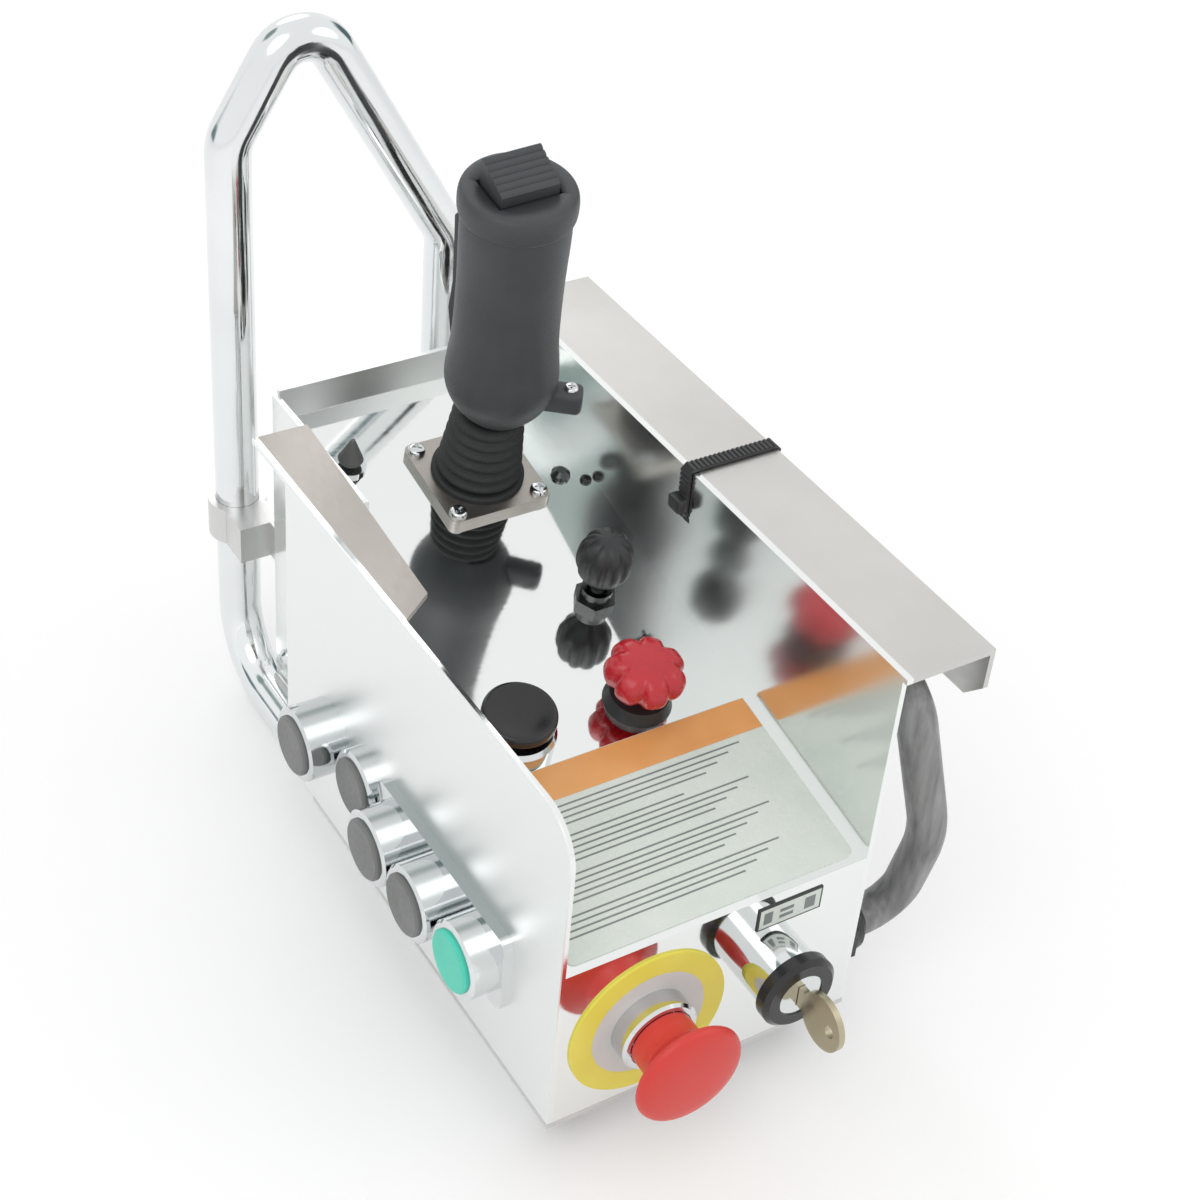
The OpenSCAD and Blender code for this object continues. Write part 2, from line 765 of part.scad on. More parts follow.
module lock_nuts() {
    color("silver") {
        on_front(estop_x, estop_z) lock_nut(barrel_r);
        on_front(key_x, key_z) lock_nut(barrel_r);
        on_panel(horn_x, horn_u) lock_nut(barrel_r);
        on_panel(knob_x, knob_u) lock_nut(knob_thread_r);
        on_panel(toggle_x, toggle_u) lock_nut(toggle_thread_r);
        on_panel(small_x, small_u) lock_nut(small_thread_r);
        for (i = [0 : button_count - 1])
            on_left(button_y + i * button_pitch, button_z) lock_nut(barrel_r);
        on_right(gland_y, gland_z) lock_nut(gland_thread_r);
    }
}

// Five buttons on the left plate. The front three share a channel frame.
face_out = [16, 18, 18, 8, 17];
cap_proud = 1.5;
cap_r = 11.4;
cap_travel = 3;
frame_t = 4;
framed_count = 3;
side_barrel_l = 14;
side_contact_h = 7;
side_stem_r = 8;

function cap_l(i) = min(0.36 * face_out[i], face_out[i] / 2);
function collar_seat(i) = i < framed_count ? frame_t : 0;
function cap_back(i) = face_out[i] - cap_l(i);

module side_collar(i) {
    well = cap_back(i) - cap_travel - seat_c;
    rim = face_out[i] - cap_proud;
    color("silver") on_left(button_y + i * button_pitch, button_z)
        turned([[side_stem_r + run_c, -side_barrel_l], [barrel_r, -side_barrel_l], [barrel_r, collar_seat(i)],
            [collar_d / 2, collar_seat(i)], [collar_d / 2, rim - over], [collar_d / 2 - over, rim],
            [cap_r + run_c, rim], [cap_r + run_c, well], [side_stem_r + run_c, well]]);
}

module side_cap(i) {
    back = cap_back(i);
    face = face_out[i];
    color(i == 0 ? "mediumaquamarine" : "gray") on_left(button_y + i * button_pitch, button_z)
        turned([[0, cap_travel + seat_c - side_barrel_l], [side_stem_r, cap_travel + seat_c - side_barrel_l],
            [side_stem_r, back], [cap_r, back], [cap_r, face - cap_proud / 2], [cap_r - cap_proud / 2, face],
            [0, face]]);
}

module side_contacts() {
    color("dimgray") for (i = [0 : button_count - 1])
        on_left(button_y + i * button_pitch, button_z)
            block(contact_w - nut_wall, contact_w, -side_barrel_l - side_contact_h, -side_barrel_l);
}

module button_frame() {
    frame_mid = button_y + (framed_count - 1) * button_pitch / 2;
    frame_len = (framed_count - 1) * button_pitch + collar_d + 2 * (button_pitch - collar_d - seat_c);
    color("silver") difference() {
        on_left(frame_mid, button_z)
            round_block(collar_d + frame_t, frame_len, frame_t, 0, frame_t);
        for (i = [0 : framed_count - 1])
            on_left(button_y + i * button_pitch, button_z) rod(barrel_r + hole_c, -over, frame_t + over);
    }
}

// Joystick
stick_plate_t = 3;
stick_cut_r = 14;
stick_screw_at = stick_plate_w / 2 - 4;
body_w = 36;
body_h = 46;
body_wall = 2.5;
pivot_z = -14;
pin_r = 3;
hub_r = 6.5;
hub_l = 20;
shaft_r = 4;
shaft_in_grip = 24;
bellows_r = 16;
bellows_neck_r = 13;
bellows_bore = 9;
bellows_folds = 6;
bellows_foot_r = 17.5;
bellows_foot_t = 2.5;
bellows_valley_share = 0.84;
grip_z = 36;
grip_lean = 4.2;
grip_offset = 3;
grip_foot_r = 13;
bellows_top = grip_z - seat_c - grip_foot_r * sin(grip_lean);
rocker_rise = 10;
cap_h = 10;
cap_top = stick_h - rocker_rise;
cap_z = cap_top - cap_h;
cap_wide_r = 20.6;
rocker_w = 22;
rocker_d = 15;
rocker_c = 1.1;
rocker_well = 8.5;
rocker_pivot = cap_top - 3;
rocker_under = 2;
rocker_ridges = 6;
rocker_pin_r = 1.5;
rocker_pin_l = 22;
rocker_fall = 6;
ridge_h = 0.6;
trigger_w = 11;
trigger_out = cap_wide_r - grip_r;
trigger_foot_share = 0.286;
trigger_foot = grip_z + trigger_foot_share * (cap_z - grip_z);
trigger_head_c = 6;
trigger_top = cap_z - trigger_head_c;
trigger_t = 4.5;
trigger_pin_r = 1.5;
trigger_turn = 150;
slot_depth = 9;
slot_c = 2;
trigger_pin_l = 19;
trigger_pivot_rise = 6;
trigger_pivot_z = trigger_foot + trigger_pivot_rise;
trigger_pivot_in = 4.5;
trigger_heel = 10;
lug_rise = 10;
lug_z = grip_z + lug_rise;
lug_turn = -35;
lug_w = 9;
lug_h = 10;
lug_round = 3;
lug_out = 30;

module on_stick() {
    on_panel(stick_x, stick_u) children();
}

// The grip leans a little, away from its lug
module on_grip() {
    on_stick() rotate([0, 0, lug_turn]) translate([grip_offset, 0, grip_z])
        rotate([0, -grip_lean, 0]) translate([0, 0, -grip_z]) rotate([0, 0, -lug_turn])
            children();
}

module stick_plate() {
    color("rosybrown") on_stick() difference() {
        round_block(stick_plate_w, stick_plate_w, stick_plate_t, 0, stick_plate_t);
        rod(stick_cut_r, -over, stick_plate_t + over);
        for (a = [-1, 1], b = [-1, 1])
            translate([a * stick_screw_at, b * stick_screw_at, 0]) rod(screw_r + hole_c, -over, stick_plate_t + over);
    }
}

module stick_screws() {
    color("silver") on_stick() for (a = [-1, 1], b = [-1, 1])
        translate([a * stick_screw_at, b * stick_screw_at, stick_plate_t]) pan_screw(stick_plate_t);
}

module stick_body() {
    color("dimgray") on_stick() difference() {
        block(body_w, body_w, -sheet_t - body_h, -sheet_t);
        block(body_w - 2 * body_wall, body_w - 2 * body_wall, body_wall - sheet_t - body_h, over);
        translate([-body_w, 0, pivot_z]) rotate([0, 90, 0]) cylinder(r = pin_r, h = 2 * body_w);
    }
}

module stick_pin() {
    color("silver") on_stick() translate([-body_w / 2, 0, pivot_z]) rotate([0, 90, 0])
        cylinder(r = pin_r, h = body_w);
}

// Ribbed boot: a foot flange, then folds that narrow towards the neck
module stick_bellows() {
    low = stick_plate_t + bellows_foot_t;
    fold_h = (bellows_top - low) / bellows_folds;
    function fold_r(i) = bellows_r + (bellows_neck_r - bellows_r) * i / bellows_folds;
    color("black") on_stick() turned(concat(
        [[bellows_bore, stick_plate_t], [bellows_foot_r, stick_plate_t], [bellows_foot_r, low]],
        [for (i = [0 : bellows_folds - 1], p = [[0, bellows_valley_share], [0.35, 1], [0.65, 1]])
            [fold_r(i) * p[1], low + (i + p[0]) * fold_h]],
        [[bellows_neck_r * bellows_valley_share, bellows_top], [bellows_bore, bellows_top]]));
}

module stick_shaft() {
    color("silver") on_stick() difference() {
        union() {
            translate([-hub_l / 2, 0, pivot_z]) rotate([0, 90, 0]) cylinder(r = hub_r, h = hub_l);
            rod(shaft_r, pivot_z, grip_z + shaft_in_grip);
        }
        translate([-hub_l, 0, pivot_z]) rotate([0, 90, 0]) cylinder(r = pin_r + run_c, h = 2 * hub_l);
    }
}

// Grip: a waisted handle with a slot for the trigger and a clamp lug at its foot
module grip_form() {
    tall = cap_z - grip_z;
    turned([[0, grip_z], [0.85 * grip_foot_r, grip_z], [grip_foot_r, grip_z + 0.02 * tall],
        [0.9 * grip_r, grip_z + 0.08 * tall], [1.04 * grip_r, grip_z + 0.15 * tall],
        [1.07 * grip_r, grip_z + 0.21 * tall], [1.04 * grip_r, grip_z + 0.28 * tall],
        [0.97 * grip_r, grip_z + 0.4 * tall], [0.96 * grip_r, grip_z + 0.7 * tall],
        [grip_r, grip_z + 0.93 * tall], [0.97 * grip_r, cap_z - seat_c], [0, cap_z - seat_c]]);
}

module trigger_place() {
    rotate([0, 0, -trigger_turn]) children();
}

module trigger_axis() {
    translate([0, trigger_pivot_in - grip_r, trigger_pivot_z]) rotate([0, 90, 0]) children();
}

module stick_grip() {
    color("black") difference() {
        on_grip() difference() {
            union() {
                grip_form();
                translate([0, 0, lug_z]) rotate([0, 0, lug_turn]) translate([grip_foot_r, 0, 0])
                    round_block(2 * (lug_out - grip_foot_r), lug_w, lug_round, -lug_h / 2, lug_h / 2);
            }
            trigger_place() {
                translate([0, -grip_r, 0])
                    block(trigger_w + 2 * seat_c, 2 * slot_depth, trigger_foot - slot_c, cap_z);
                trigger_axis() cylinder(r = trigger_pin_r + run_c, h = trigger_pin_l + 2 * seat_c, center = true);
            }
        }
        on_stick() rod(shaft_r + run_c, 0, grip_z + shaft_in_grip);
    }
}

module grip_cap() {
    color("black") on_grip() difference() {
        turned([[0, cap_z], [0.97 * cap_wide_r, cap_z], [cap_wide_r, cap_z + 0.2 * (cap_top - cap_z)],
            [cap_wide_r, cap_z + 0.75 * (cap_top - cap_z)], [0.9 * cap_wide_r, cap_top], [0, cap_top]]);
        block(rocker_w + 2 * rocker_c, rocker_d + 2 * rocker_c, cap_top - rocker_well, cap_top + over);
        translate([0, 0, rocker_pivot]) rotate([90, 0, 0])
            cylinder(r = rocker_pin_r + run_c, h = rocker_pin_l + 2 * seat_c, center = true);
    }
}

// Thumb rocker on a cross pin, its ridged face rising away from the operator
module rocker_profile() {
    face = rocker_d / rocker_ridges;
    polygon(concat(
        [[-rocker_d / 2, rocker_pivot - rocker_under], [rocker_d / 2, rocker_pivot - rocker_under],
            [rocker_d / 2, stick_h - ridge_h]],
        [for (i = [rocker_ridges - 1 : -1 : 0], p = [[0.75, ridge_h], [0.25, ridge_h], [0, 0]])
            [(i + p[0]) * face - rocker_d / 2, rocker_face_z((i + p[0]) * face) + p[1]]]));
}

function rocker_face_z(d) = stick_h - ridge_h - rocker_fall * (1 - d / rocker_d);

module thumb_rocker() {
    color("dimgray") on_grip() {
        translate([-rocker_w / 2, 0, 0]) rotate([90, 0, 90]) linear_extrude(rocker_w) rocker_profile();
        translate([0, 0, rocker_pivot]) rotate([90, 0, 0])
            cylinder(r = rocker_pin_r, h = rocker_pin_l, center = true);
    }
}

// Enable trigger: a bowed lever that turns on a pin through its heel
module trigger_profile() {
    out = grip_r + trigger_out;
    polygon([[-out + trigger_t / 2, trigger_foot],
        [trigger_pivot_in + trigger_t / 2 - grip_r, trigger_foot],
        [trigger_pivot_in + trigger_t / 2 - grip_r, trigger_foot + trigger_heel],
        [-out + 1.2 * trigger_t, trigger_foot + 1.6 * trigger_heel],
        [-out + trigger_t, trigger_top - trigger_t], [-out + trigger_t, trigger_top],
        [-out + trigger_t / 2, trigger_top], [-out, trigger_top - trigger_t / 2],
        [-out + trigger_t / 4, (trigger_top + trigger_foot) / 2],
        [-out, trigger_foot + 1.6 * trigger_heel]]);
}

module enable_trigger() {
    color("dimgray") on_grip() trigger_place() {
        translate([-trigger_w / 2, 0, 0]) rotate([90, 0, 90]) linear_extrude(trigger_w) trigger_profile();
        trigger_axis() cylinder(r = trigger_pin_r, h = trigger_pin_l, center = true);
    }
}

// Board on the cover, with four standoffs and a terminal block
board_w = 70;
board_l = 90;
board_t = 1.6;
board_x = 8;
board_share = 0.472;
board_y = board_share * housing_d;
standoff_h = 8;
standoff_r = 3;
standoff_in = 6;
terminal_h = 10;
terminal_l = 60;
terminal_w = 12;

module control_board() {
    color("seagreen") translate([board_x, board_y, 0]) {
        block(board_w, board_l, standoff_h, standoff_h + board_t);
        for (a = [-1, 1], b = [-1, 1])
            translate([a * (board_w / 2 - standoff_in), b * (board_l / 2 - standoff_in), 0])
                rod(standoff_r, 0, standoff_h);
        translate([0, board_l / 2 - terminal_w, 0])
            block(terminal_l, terminal_w, standoff_h + board_t, standoff_h + board_t + terminal_h);
    }
}

// Harness lead: out of a gland low on the right plate, up in a bow and back under the flange
lead_r = lead_d / 2;
gland_thread_r = 8.5;
gland_hex_r = 12.5;
gland_hex_h = 5;
gland_dome_h = 6;
gland_grip_h = gland_hex_h + gland_dome_h;
under_flange = right_h - sheet_t;
plug_r = 9.5;
run_x = half_w + seat_c + plug_r;
run_z = under_flange - seat_c - plug_r;
bow_out = 28.5;
bow_x = half_w + bow_out;
bow_y = 4;
bow_mid_z = 66;
run_y = 8;
plug_back = 39;
plug_y = housing_d - plug_back;
plug_len = 46;
plug_bore = 7;
plug_bore_l = 12;

lead_line = [[half_w - sheet_t, gland_y, gland_z], [bow_x, gland_y, gland_z], [bow_x, bow_y, bow_mid_z],
    [run_x, run_y, run_z], [run_x, plug_y, run_z]];
lead_bends = [0, 15, 60, 22, 0];

module harness_lead() {
    color("gray") bent_tube(lead_line, lead_bends, lead_r, lead_sides);
}

// Gland, plug and the clip that holds the plug under the flange
module lead_ends() {
    color("dimgray") {
        on_right(gland_y, gland_z) difference() {
            union() {
                rod(gland_thread_r, -sheet_t - 2 * nut_h, 0);
                cylinder(r = gland_hex_r, h = gland_hex_h, $fn = 6);
                turned([[0, gland_hex_h], [0.86 * gland_hex_r, gland_hex_h],
                    [0.8 * gland_hex_r, gland_hex_h + 0.6 * gland_dome_h],
                    [0.62 * gland_hex_r, gland_grip_h], [0, gland_grip_h]]);
            }
            rod(lead_r + run_c, -sheet_t, gland_grip_h + over);
        }
        translate([run_x, plug_y, run_z]) rotate([-90, 0, 0]) difference() {
            turned([[0, 0], [lead_r, 0], [0.88 * plug_r, 0.15 * plug_len], [0.88 * plug_r, 0.4 * plug_len],
                [plug_r, 0.4 * plug_len], [plug_r, 0.9 * plug_len], [0.9 * plug_r, plug_len], [0, plug_len]]);
            rod(plug_bore, plug_len - plug_bore_l, plug_len + over);
        }
    }
}

// Tie round the flange, its lip and the lead. It enters the plate through a slot.
tie_z = right_h - tie_hang;
tie_low_z = right_h - lip_h - sheet_t / 2;
tie_out = half_w + right_flange_w + seat_c;
tie_in = inner_x - seat_c;
tie_up = right_h + seat_c;

module flange_tie() {
    color("black") translate([0, tie_y + tie_w / 2, 0]) rotate([90, 0, 0]) linear_extrude(tie_w)
        difference() {
            polygon([[tie_in - tie_t, tie_z - tie_t], [tie_out + tie_t, tie_low_z - tie_t],
                [tie_out + tie_t, tie_up + tie_t], [tie_in - tie_t, tie_up + tie_t]]);
            polygon([[tie_in, tie_z], [tie_out, tie_low_z], [tie_out, tie_up], [tie_in, tie_up]]);
        }
}

led_r = 3;

module status_led() {
    color("darkslategray") on_panel(led_x, led_u)
        turned([[0, -sheet_t - nut_h], [led_r, -sheet_t - nut_h], [led_r, 0], [1.3 * led_r, 0],
            [1.2 * led_r, 0.5 * led_r], [0.6 * led_r, led_r], [0, led_r]]);
}

// Row frame: the origin is under the middle of the whole object, on the floor
reach_left = half_w + max(face_out);
reach_right = half_w + right_flange_w + seat_c + tie_t;
reach_front = bow_z + bow_r;
reach_rear = leg_y + tube_r + clamp_wall;
mid_x = (reach_right - reach_left) / 2;
mid_y = (reach_rear - reach_front) / 2;

module at_origin() {
    translate([-mid_x, -mid_y, stand_h]) children();
}

at_origin() side_plate_left();
at_origin() side_plate_right();
at_origin() panel_shell();
at_origin() pocket_wall();
at_origin() bottom_cover();
at_origin() cover_screws();
at_origin() hoop_frame();
at_origin() tube_plugs();
at_origin() hoop_clamps();
at_origin() clamp_screws();
at_origin() skid_bolts();
at_origin() placard();
at_origin() key_legend();
at_origin() estop_ring();
at_origin() estop_body();
at_origin() estop_stem();
at_origin() estop_head();
at_origin() estop_contacts();
at_origin() key_barrel();
at_origin() key_bezel();
at_origin() key_rotor();
at_origin() key();
at_origin() key_contacts();
at_origin() horn_bezel();
at_origin() horn_cap();
at_origin() knob_base();
at_origin() lift_knob();
at_origin() panel_contacts();
at_origin() toggle_base();
at_origin() toggle_lever();
at_origin() small_toggle_base();
at_origin() small_toggle_lever();
at_origin() lock_nuts();
for (i = [0 : button_count - 1]) {
    at_origin() side_collar(i);
    at_origin() side_cap(i);
}
at_origin() side_contacts();
at_origin() button_frame();
at_origin() stick_plate();
at_origin() stick_screws();
at_origin() stick_body();
at_origin() stick_pin();
at_origin() stick_bellows();
at_origin() stick_shaft();
at_origin() stick_grip();
at_origin() grip_cap();
at_origin() thumb_rocker();
at_origin() enable_trigger();
at_origin() control_board();
at_origin() harness_lead();
at_origin() lead_ends();
at_origin() flange_tie();
at_origin() status_led();
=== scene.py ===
"""Platform control box of a scissor lift: finishes, soft and moulded pieces, studio and camera."""
import math

import bmesh
import bpy
from bpy.props import FloatProperty, FloatVectorProperty, IntProperty, PointerProperty
from mathutils import Matrix, Vector


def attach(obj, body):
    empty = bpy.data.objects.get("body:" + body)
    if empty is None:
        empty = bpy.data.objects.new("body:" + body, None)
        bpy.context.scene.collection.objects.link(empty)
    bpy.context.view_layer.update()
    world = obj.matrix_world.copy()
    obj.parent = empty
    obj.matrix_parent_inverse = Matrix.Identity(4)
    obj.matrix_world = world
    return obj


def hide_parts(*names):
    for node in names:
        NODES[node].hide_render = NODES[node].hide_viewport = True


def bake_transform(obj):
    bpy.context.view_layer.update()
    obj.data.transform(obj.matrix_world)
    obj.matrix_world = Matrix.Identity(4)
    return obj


bl_info = {
    "name": "Platform control box",
    "version": (1, 0, 0),
    "blender": (4, 5, 0),
    "location": "View3D > Sidebar > Control Box",
    "description": "Dresses the control box and sets up its studio",
    "category": "Object",
}

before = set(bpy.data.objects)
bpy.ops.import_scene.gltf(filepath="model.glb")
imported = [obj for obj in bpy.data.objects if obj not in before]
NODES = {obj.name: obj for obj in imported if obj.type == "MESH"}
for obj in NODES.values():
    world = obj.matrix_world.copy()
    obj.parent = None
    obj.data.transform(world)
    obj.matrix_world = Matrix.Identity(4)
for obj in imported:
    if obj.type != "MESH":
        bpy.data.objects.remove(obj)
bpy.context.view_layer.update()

# Housing, in millimetres. Its own frame is an offset from the model's origin
MM = 0.001
HOUSING_SHIFT = Vector((-8.95, -124.0, 19.5))
HOUSING_D = 254.0
PANEL_ANGLE = math.radians(11.5)
FRONT_H = 70.0
HALF_W = 61.0
PANEL_L = HOUSING_D / math.cos(PANEL_ANGLE)

# Where the sheets' finishes change, in the model's metres, a little past each face
PAST_FACE, PAST_PLATE, PAST_WALL = 0.55, 2.25, 2.5
RIGHT_FLANGE_X = (HALF_W + PAST_FACE + HOUSING_SHIFT.x) * MM
LEFT_FLANGE_X = (PAST_PLATE - HALF_W + HOUSING_SHIFT.x) * MM
LEFT_FACE_X = (PAST_FACE - HALF_W + HOUSING_SHIFT.x) * MM
REAR_WALL_Y = (HOUSING_D - PAST_WALL + HOUSING_SHIFT.y) * MM

# Places on the panel, across it and up its slope
STICK_X, STICK_U = 17.5, 0.791 * PANEL_L
HORN_AT = (-29, 0.347 * PANEL_L)
KNOB_AT = (20, 0.343 * PANEL_L)
TOGGLE_AT = (29, 0.521 * PANEL_L)
PANEL_SCREW_AT = (56.2, 189)

# Places on the front, across and up, and along the right flange
STOP_AT = (-25, 33)
LEGEND_AT = (28.5, 60.5)
TIE_Y = 0.492 * HOUSING_D

# Radius and height of each screw's head
PLATE_SCREW, LUG_SCREW, PANEL_SCREW = (3.4, 2.4), (2.6, 1.8), (2.3, 1.6)

# Joystick: heights stand on the panel
LUG_TURN, TRIGGER_TURN = math.radians(-35), math.radians(-150)
GRIP_OFFSET, GRIP_LEAN = 3, math.radians(4.2)
PLATE_T, PLATE_SCREW_AT = 3, 17
BOOT_FOOT, BOOT_TOP = 5.5, 34.75
BOOT_R, BOOT_NECK_R = 16, 13
GRIP_FOOT, GRIP_TOP = 36.0, 126.7
SLOT_SIZE, SLOT_Z = (11.6, 18, 70), 95
GROOVE_LOW, GROOVE_HIGH = 117.2, 118.3
LUG_SIZE, LUG_CENTRE, LUG_BEVEL = (34, 9, 10), (13, 0, 46), 2.4
LUG_SCREW_AT = (25.5, 0, 50.6)
HEAD_FOOT, HEAD_TOP = 127, 137
WELL_SIZE, WELL_Z = (24.2, 17.2, 12), 134.5
PIN_BORE_R, PIN_BORE_HALF, PIN_BORE_Z = 1.55, 11.3, 134

# Vertices closer than this are one, in millimetres
MERGE = 0.002


# Places
def shift():
    """Housing millimetres to the model's metres."""
    return Matrix.Scale(MM, 4) @ Matrix.Translation(HOUSING_SHIFT)


def on_panel(x, u):
    """A frame on the sloping panel, x across and u up the slope, in metres from millimetres."""
    at = Vector((x, u * math.cos(PANEL_ANGLE), FRONT_H + u * math.sin(PANEL_ANGLE)))
    return shift() @ Matrix.Translation(at) @ Matrix.Rotation(PANEL_ANGLE, 4, "X")


def on_grip():
    """The joystick's grip, which leans a little away from its lug."""
    turn = Matrix.Rotation(LUG_TURN, 4, "Z")
    foot = Matrix.Translation((GRIP_OFFSET, 0, GRIP_FOOT))
    lean = foot @ Matrix.Rotation(-GRIP_LEAN, 4, "Y") @ Matrix.Translation((0, 0, -GRIP_FOOT))
    return on_panel(STICK_X, STICK_U) @ turn @ lean @ turn.inverted()


def on_front(x, z):
    """A frame on the front face, its z pointing at the operator."""
    return shift() @ Matrix.Translation((x, 0, z)) @ Matrix.Rotation(math.radians(90), 4, "X")


# Mesh helpers
def rounded(points, times=2):
    """The same open outline with its inner corners cut, more softly each time."""
    pts = [Vector((p[0], p[1])) for p in points]
    for _ in range(times):
        out = [pts[0]]
        for a, b in zip(pts, pts[1:]):
            out += [a.lerp(b, 0.25), a.lerp(b, 0.75)]
        out.append(pts[-1])
        pts = out
    return [tuple(p) for p in pts]


def ring_outline(inner, outer, low, high):
    """The closed outline of a flat ring."""
    return [(inner, low), (outer, low), (outer, high), (inner, high), (inner, low)]


def finish_mesh(bm, name, place, material, body, smooth=40.0):
    """Turns a bmesh in millimetres into a piece that rides on a body, or on none."""
    bmesh.ops.remove_doubles(bm, verts=bm.verts, dist=MERGE)
    bmesh.ops.recalc_face_normals(bm, faces=bm.faces)
    bm.transform(place)
    mesh = bpy.data.meshes.new(name)
    bm.to_mesh(mesh)
    bm.free()
    for poly in mesh.polygons:
        poly.use_smooth = True
    mesh.set_sharp_from_angle(angle=math.radians(smooth))
    obj = bpy.data.objects.new(name, mesh)
    bpy.context.scene.collection.objects.link(obj)
    obj.data.materials.append(material)
    if body is not None:
        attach(obj, body)
    return obj


def turned_bmesh(outline, steps=96):
    """A solid of revolution about z from its outline of radius and height."""
    bm = bmesh.new()
    verts = [bm.verts.new((max(r, 0.0), 0, z)) for r, z in outline]
    edges = [bm.edges.new(pair) for pair in zip(verts, verts[1:])]
    bmesh.ops.spin(
        bm, geom=verts + edges, cent=(0, 0, 0), axis=(0, 0, 1), dvec=(0, 0, 0),
        angle=math.radians(360), steps=steps, use_merge=True, use_duplicate=False,
    )
    bmesh.ops.remove_doubles(bm, verts=bm.verts, dist=MERGE)
    return bm


def rod_bmesh(radius, low, high, steps):
    """A round rod along z."""
    return turned_bmesh([(0, low), (radius, low), (radius, high), (0, high)], steps)


def box_bmesh(size, centre=(0, 0, 0), bevel=0.0, segments=3):
    """A box with bevelled edges."""
    bm = bmesh.new()
    bmesh.ops.create_cube(bm, size=1.0)
    bmesh.ops.scale(bm, vec=size, verts=bm.verts)
    bmesh.ops.translate(bm, vec=centre, verts=bm.verts)
    if bevel > 0:
        bmesh.ops.bevel(
            bm, geom=bm.edges[:], offset=bevel, segments=segments, profile=0.5,
            affect="EDGES", material=-1,
        )
    return bm


def extruded_bmesh(outline, half):
    """A solid from an outline across and up, half of it on each side of the middle."""
    bm = bmesh.new()
    bm.faces.new([bm.verts.new((x, -half, z)) for x, z in outline])
    skin = bmesh.ops.extrude_face_region(bm, geom=bm.faces[:])
    moved = [v for v in skin["geom"] if isinstance(v, bmesh.types.BMVert)]
    bmesh.ops.translate(bm, vec=(0, 2 * half, 0), verts=moved)
    bmesh.ops.recalc_face_normals(bm, faces=bm.faces)
    return bm


def join_bmesh(target, source, place=None):
    """Adds one bmesh to another, and frees it."""
    if place is not None:
        source.transform(place)
    mesh = bpy.data.meshes.new("part")
    source.to_mesh(mesh)
    source.free()
    target.from_mesh(mesh)
    bpy.data.meshes.remove(mesh)


def cut(obj, cutter, place):
    """Cuts a bmesh in millimetres out of a piece, and frees it."""
    cutter.transform(place)
    mesh = bpy.data.meshes.new("cutter")
    cutter.to_mesh(mesh)
    cutter.free()
    tool = bpy.data.objects.new("cutter", mesh)
    bpy.context.scene.collection.objects.link(tool)
    step = obj.modifiers.new("cut", "BOOLEAN")
    step.operation = "DIFFERENCE"
    step.solver = "EXACT"
    step.object = tool
    bpy.context.view_layer.update()
    done = bpy.data.meshes.new_from_object(obj.evaluated_get(bpy.context.evaluated_depsgraph_get()))
    obj.modifiers.clear()
    old, obj.data = obj.data, done
    bpy.data.objects.remove(tool)
    bpy.data.meshes.remove(old)


def screw(name, place, r, h, material, body="housing"):
    """A pan head screw with a cross recess, its seat at the frame's origin."""
    head = rounded([(r, 0), (r, 0.45 * h), (0.8 * r, 0.9 * h), (0, h)], 2)
    obj = finish_mesh(turned_bmesh([(0, 0), (r, 0)] + head, 40), name, place, material, body)
    for across, along in ((1.1 * r, 0.26 * r), (0.26 * r, 1.1 * r)):
        cut(obj, box_bmesh((across, along, h), (0, 0, h)), place)
    return obj


def arc_line(points, bends, step=4.0):
    """The middle line through the points, each inner corner bent to its radius."""
    pts = [Vector(p) for p in points]
    line = [pts[0]]
    for i in range(1, len(pts) - 1):
        u = (pts[i] - pts[i - 1]).normalized()
        v = (pts[i + 1] - pts[i]).normalized()
        turn = u.angle(v)
        centre = pts[i] + (v - u).normalized() * bends[i] / math.cos(turn / 2)
        start = pts[i] - u * bends[i] * math.tan(turn / 2)
        ex = (start - centre).normalized()
        count = max(2, math.ceil(math.degrees(turn) / step))
        for k in range(count + 1):
            a = turn * k / count
            line.append(centre + bends[i] * (math.cos(a) * ex + math.sin(a) * u))
    line.append(pts[-1])
    return line


def tube_piece(name, line, radius, material, body, sides=10):
    """A round tube along a line, made from a curve."""
    curve = bpy.data.curves.new(name, "CURVE")
    curve.dimensions = "3D"
    curve.use_fill_caps = True
    curve.twist_mode = "MINIMUM"
    spline = curve.splines.new("POLY")
    spline.points.add(len(line) - 1)
    for point, at in zip(spline.points, line):
        point.co = (*at, 1.0)
    curve.bevel_depth = radius
    curve.bevel_resolution = sides
    made = bpy.data.objects.new(name + "_line", curve)
    bpy.context.scene.collection.objects.link(made)
    bpy.context.view_layer.update()
    bm = bmesh.new()
    mesh = made.evaluated_get(bpy.context.evaluated_depsgraph_get()).to_mesh()
    bm.from_mesh(mesh)
    made.to_mesh_clear()
    bpy.data.objects.remove(made)
    bpy.data.curves.remove(curve)
    return finish_mesh(bm, name, shift(), material, body, 50.0)


# Materials
def live(sockets, name):
    """The socket of that name that the node's present type uses."""
    return next(s for s in sockets if s.name == name and s.enabled)


def maximum(tree, first, second):
    """The larger of two sockets."""
    node = tree.nodes.new("ShaderNodeMath")
    node.operation = "MAXIMUM"
    tree.links.new(first, node.inputs[0])
    tree.links.new(second, node.inputs[1])
    return node.outputs[0]


def mix_shaders(tree, factor, first, second):
    """A mix of two shaders."""
    node = tree.nodes.new("ShaderNodeMixShader")
    for socket, wanted in zip((factor, first, second), node.inputs):
        tree.links.new(socket, wanted)
    return node.outputs[0]


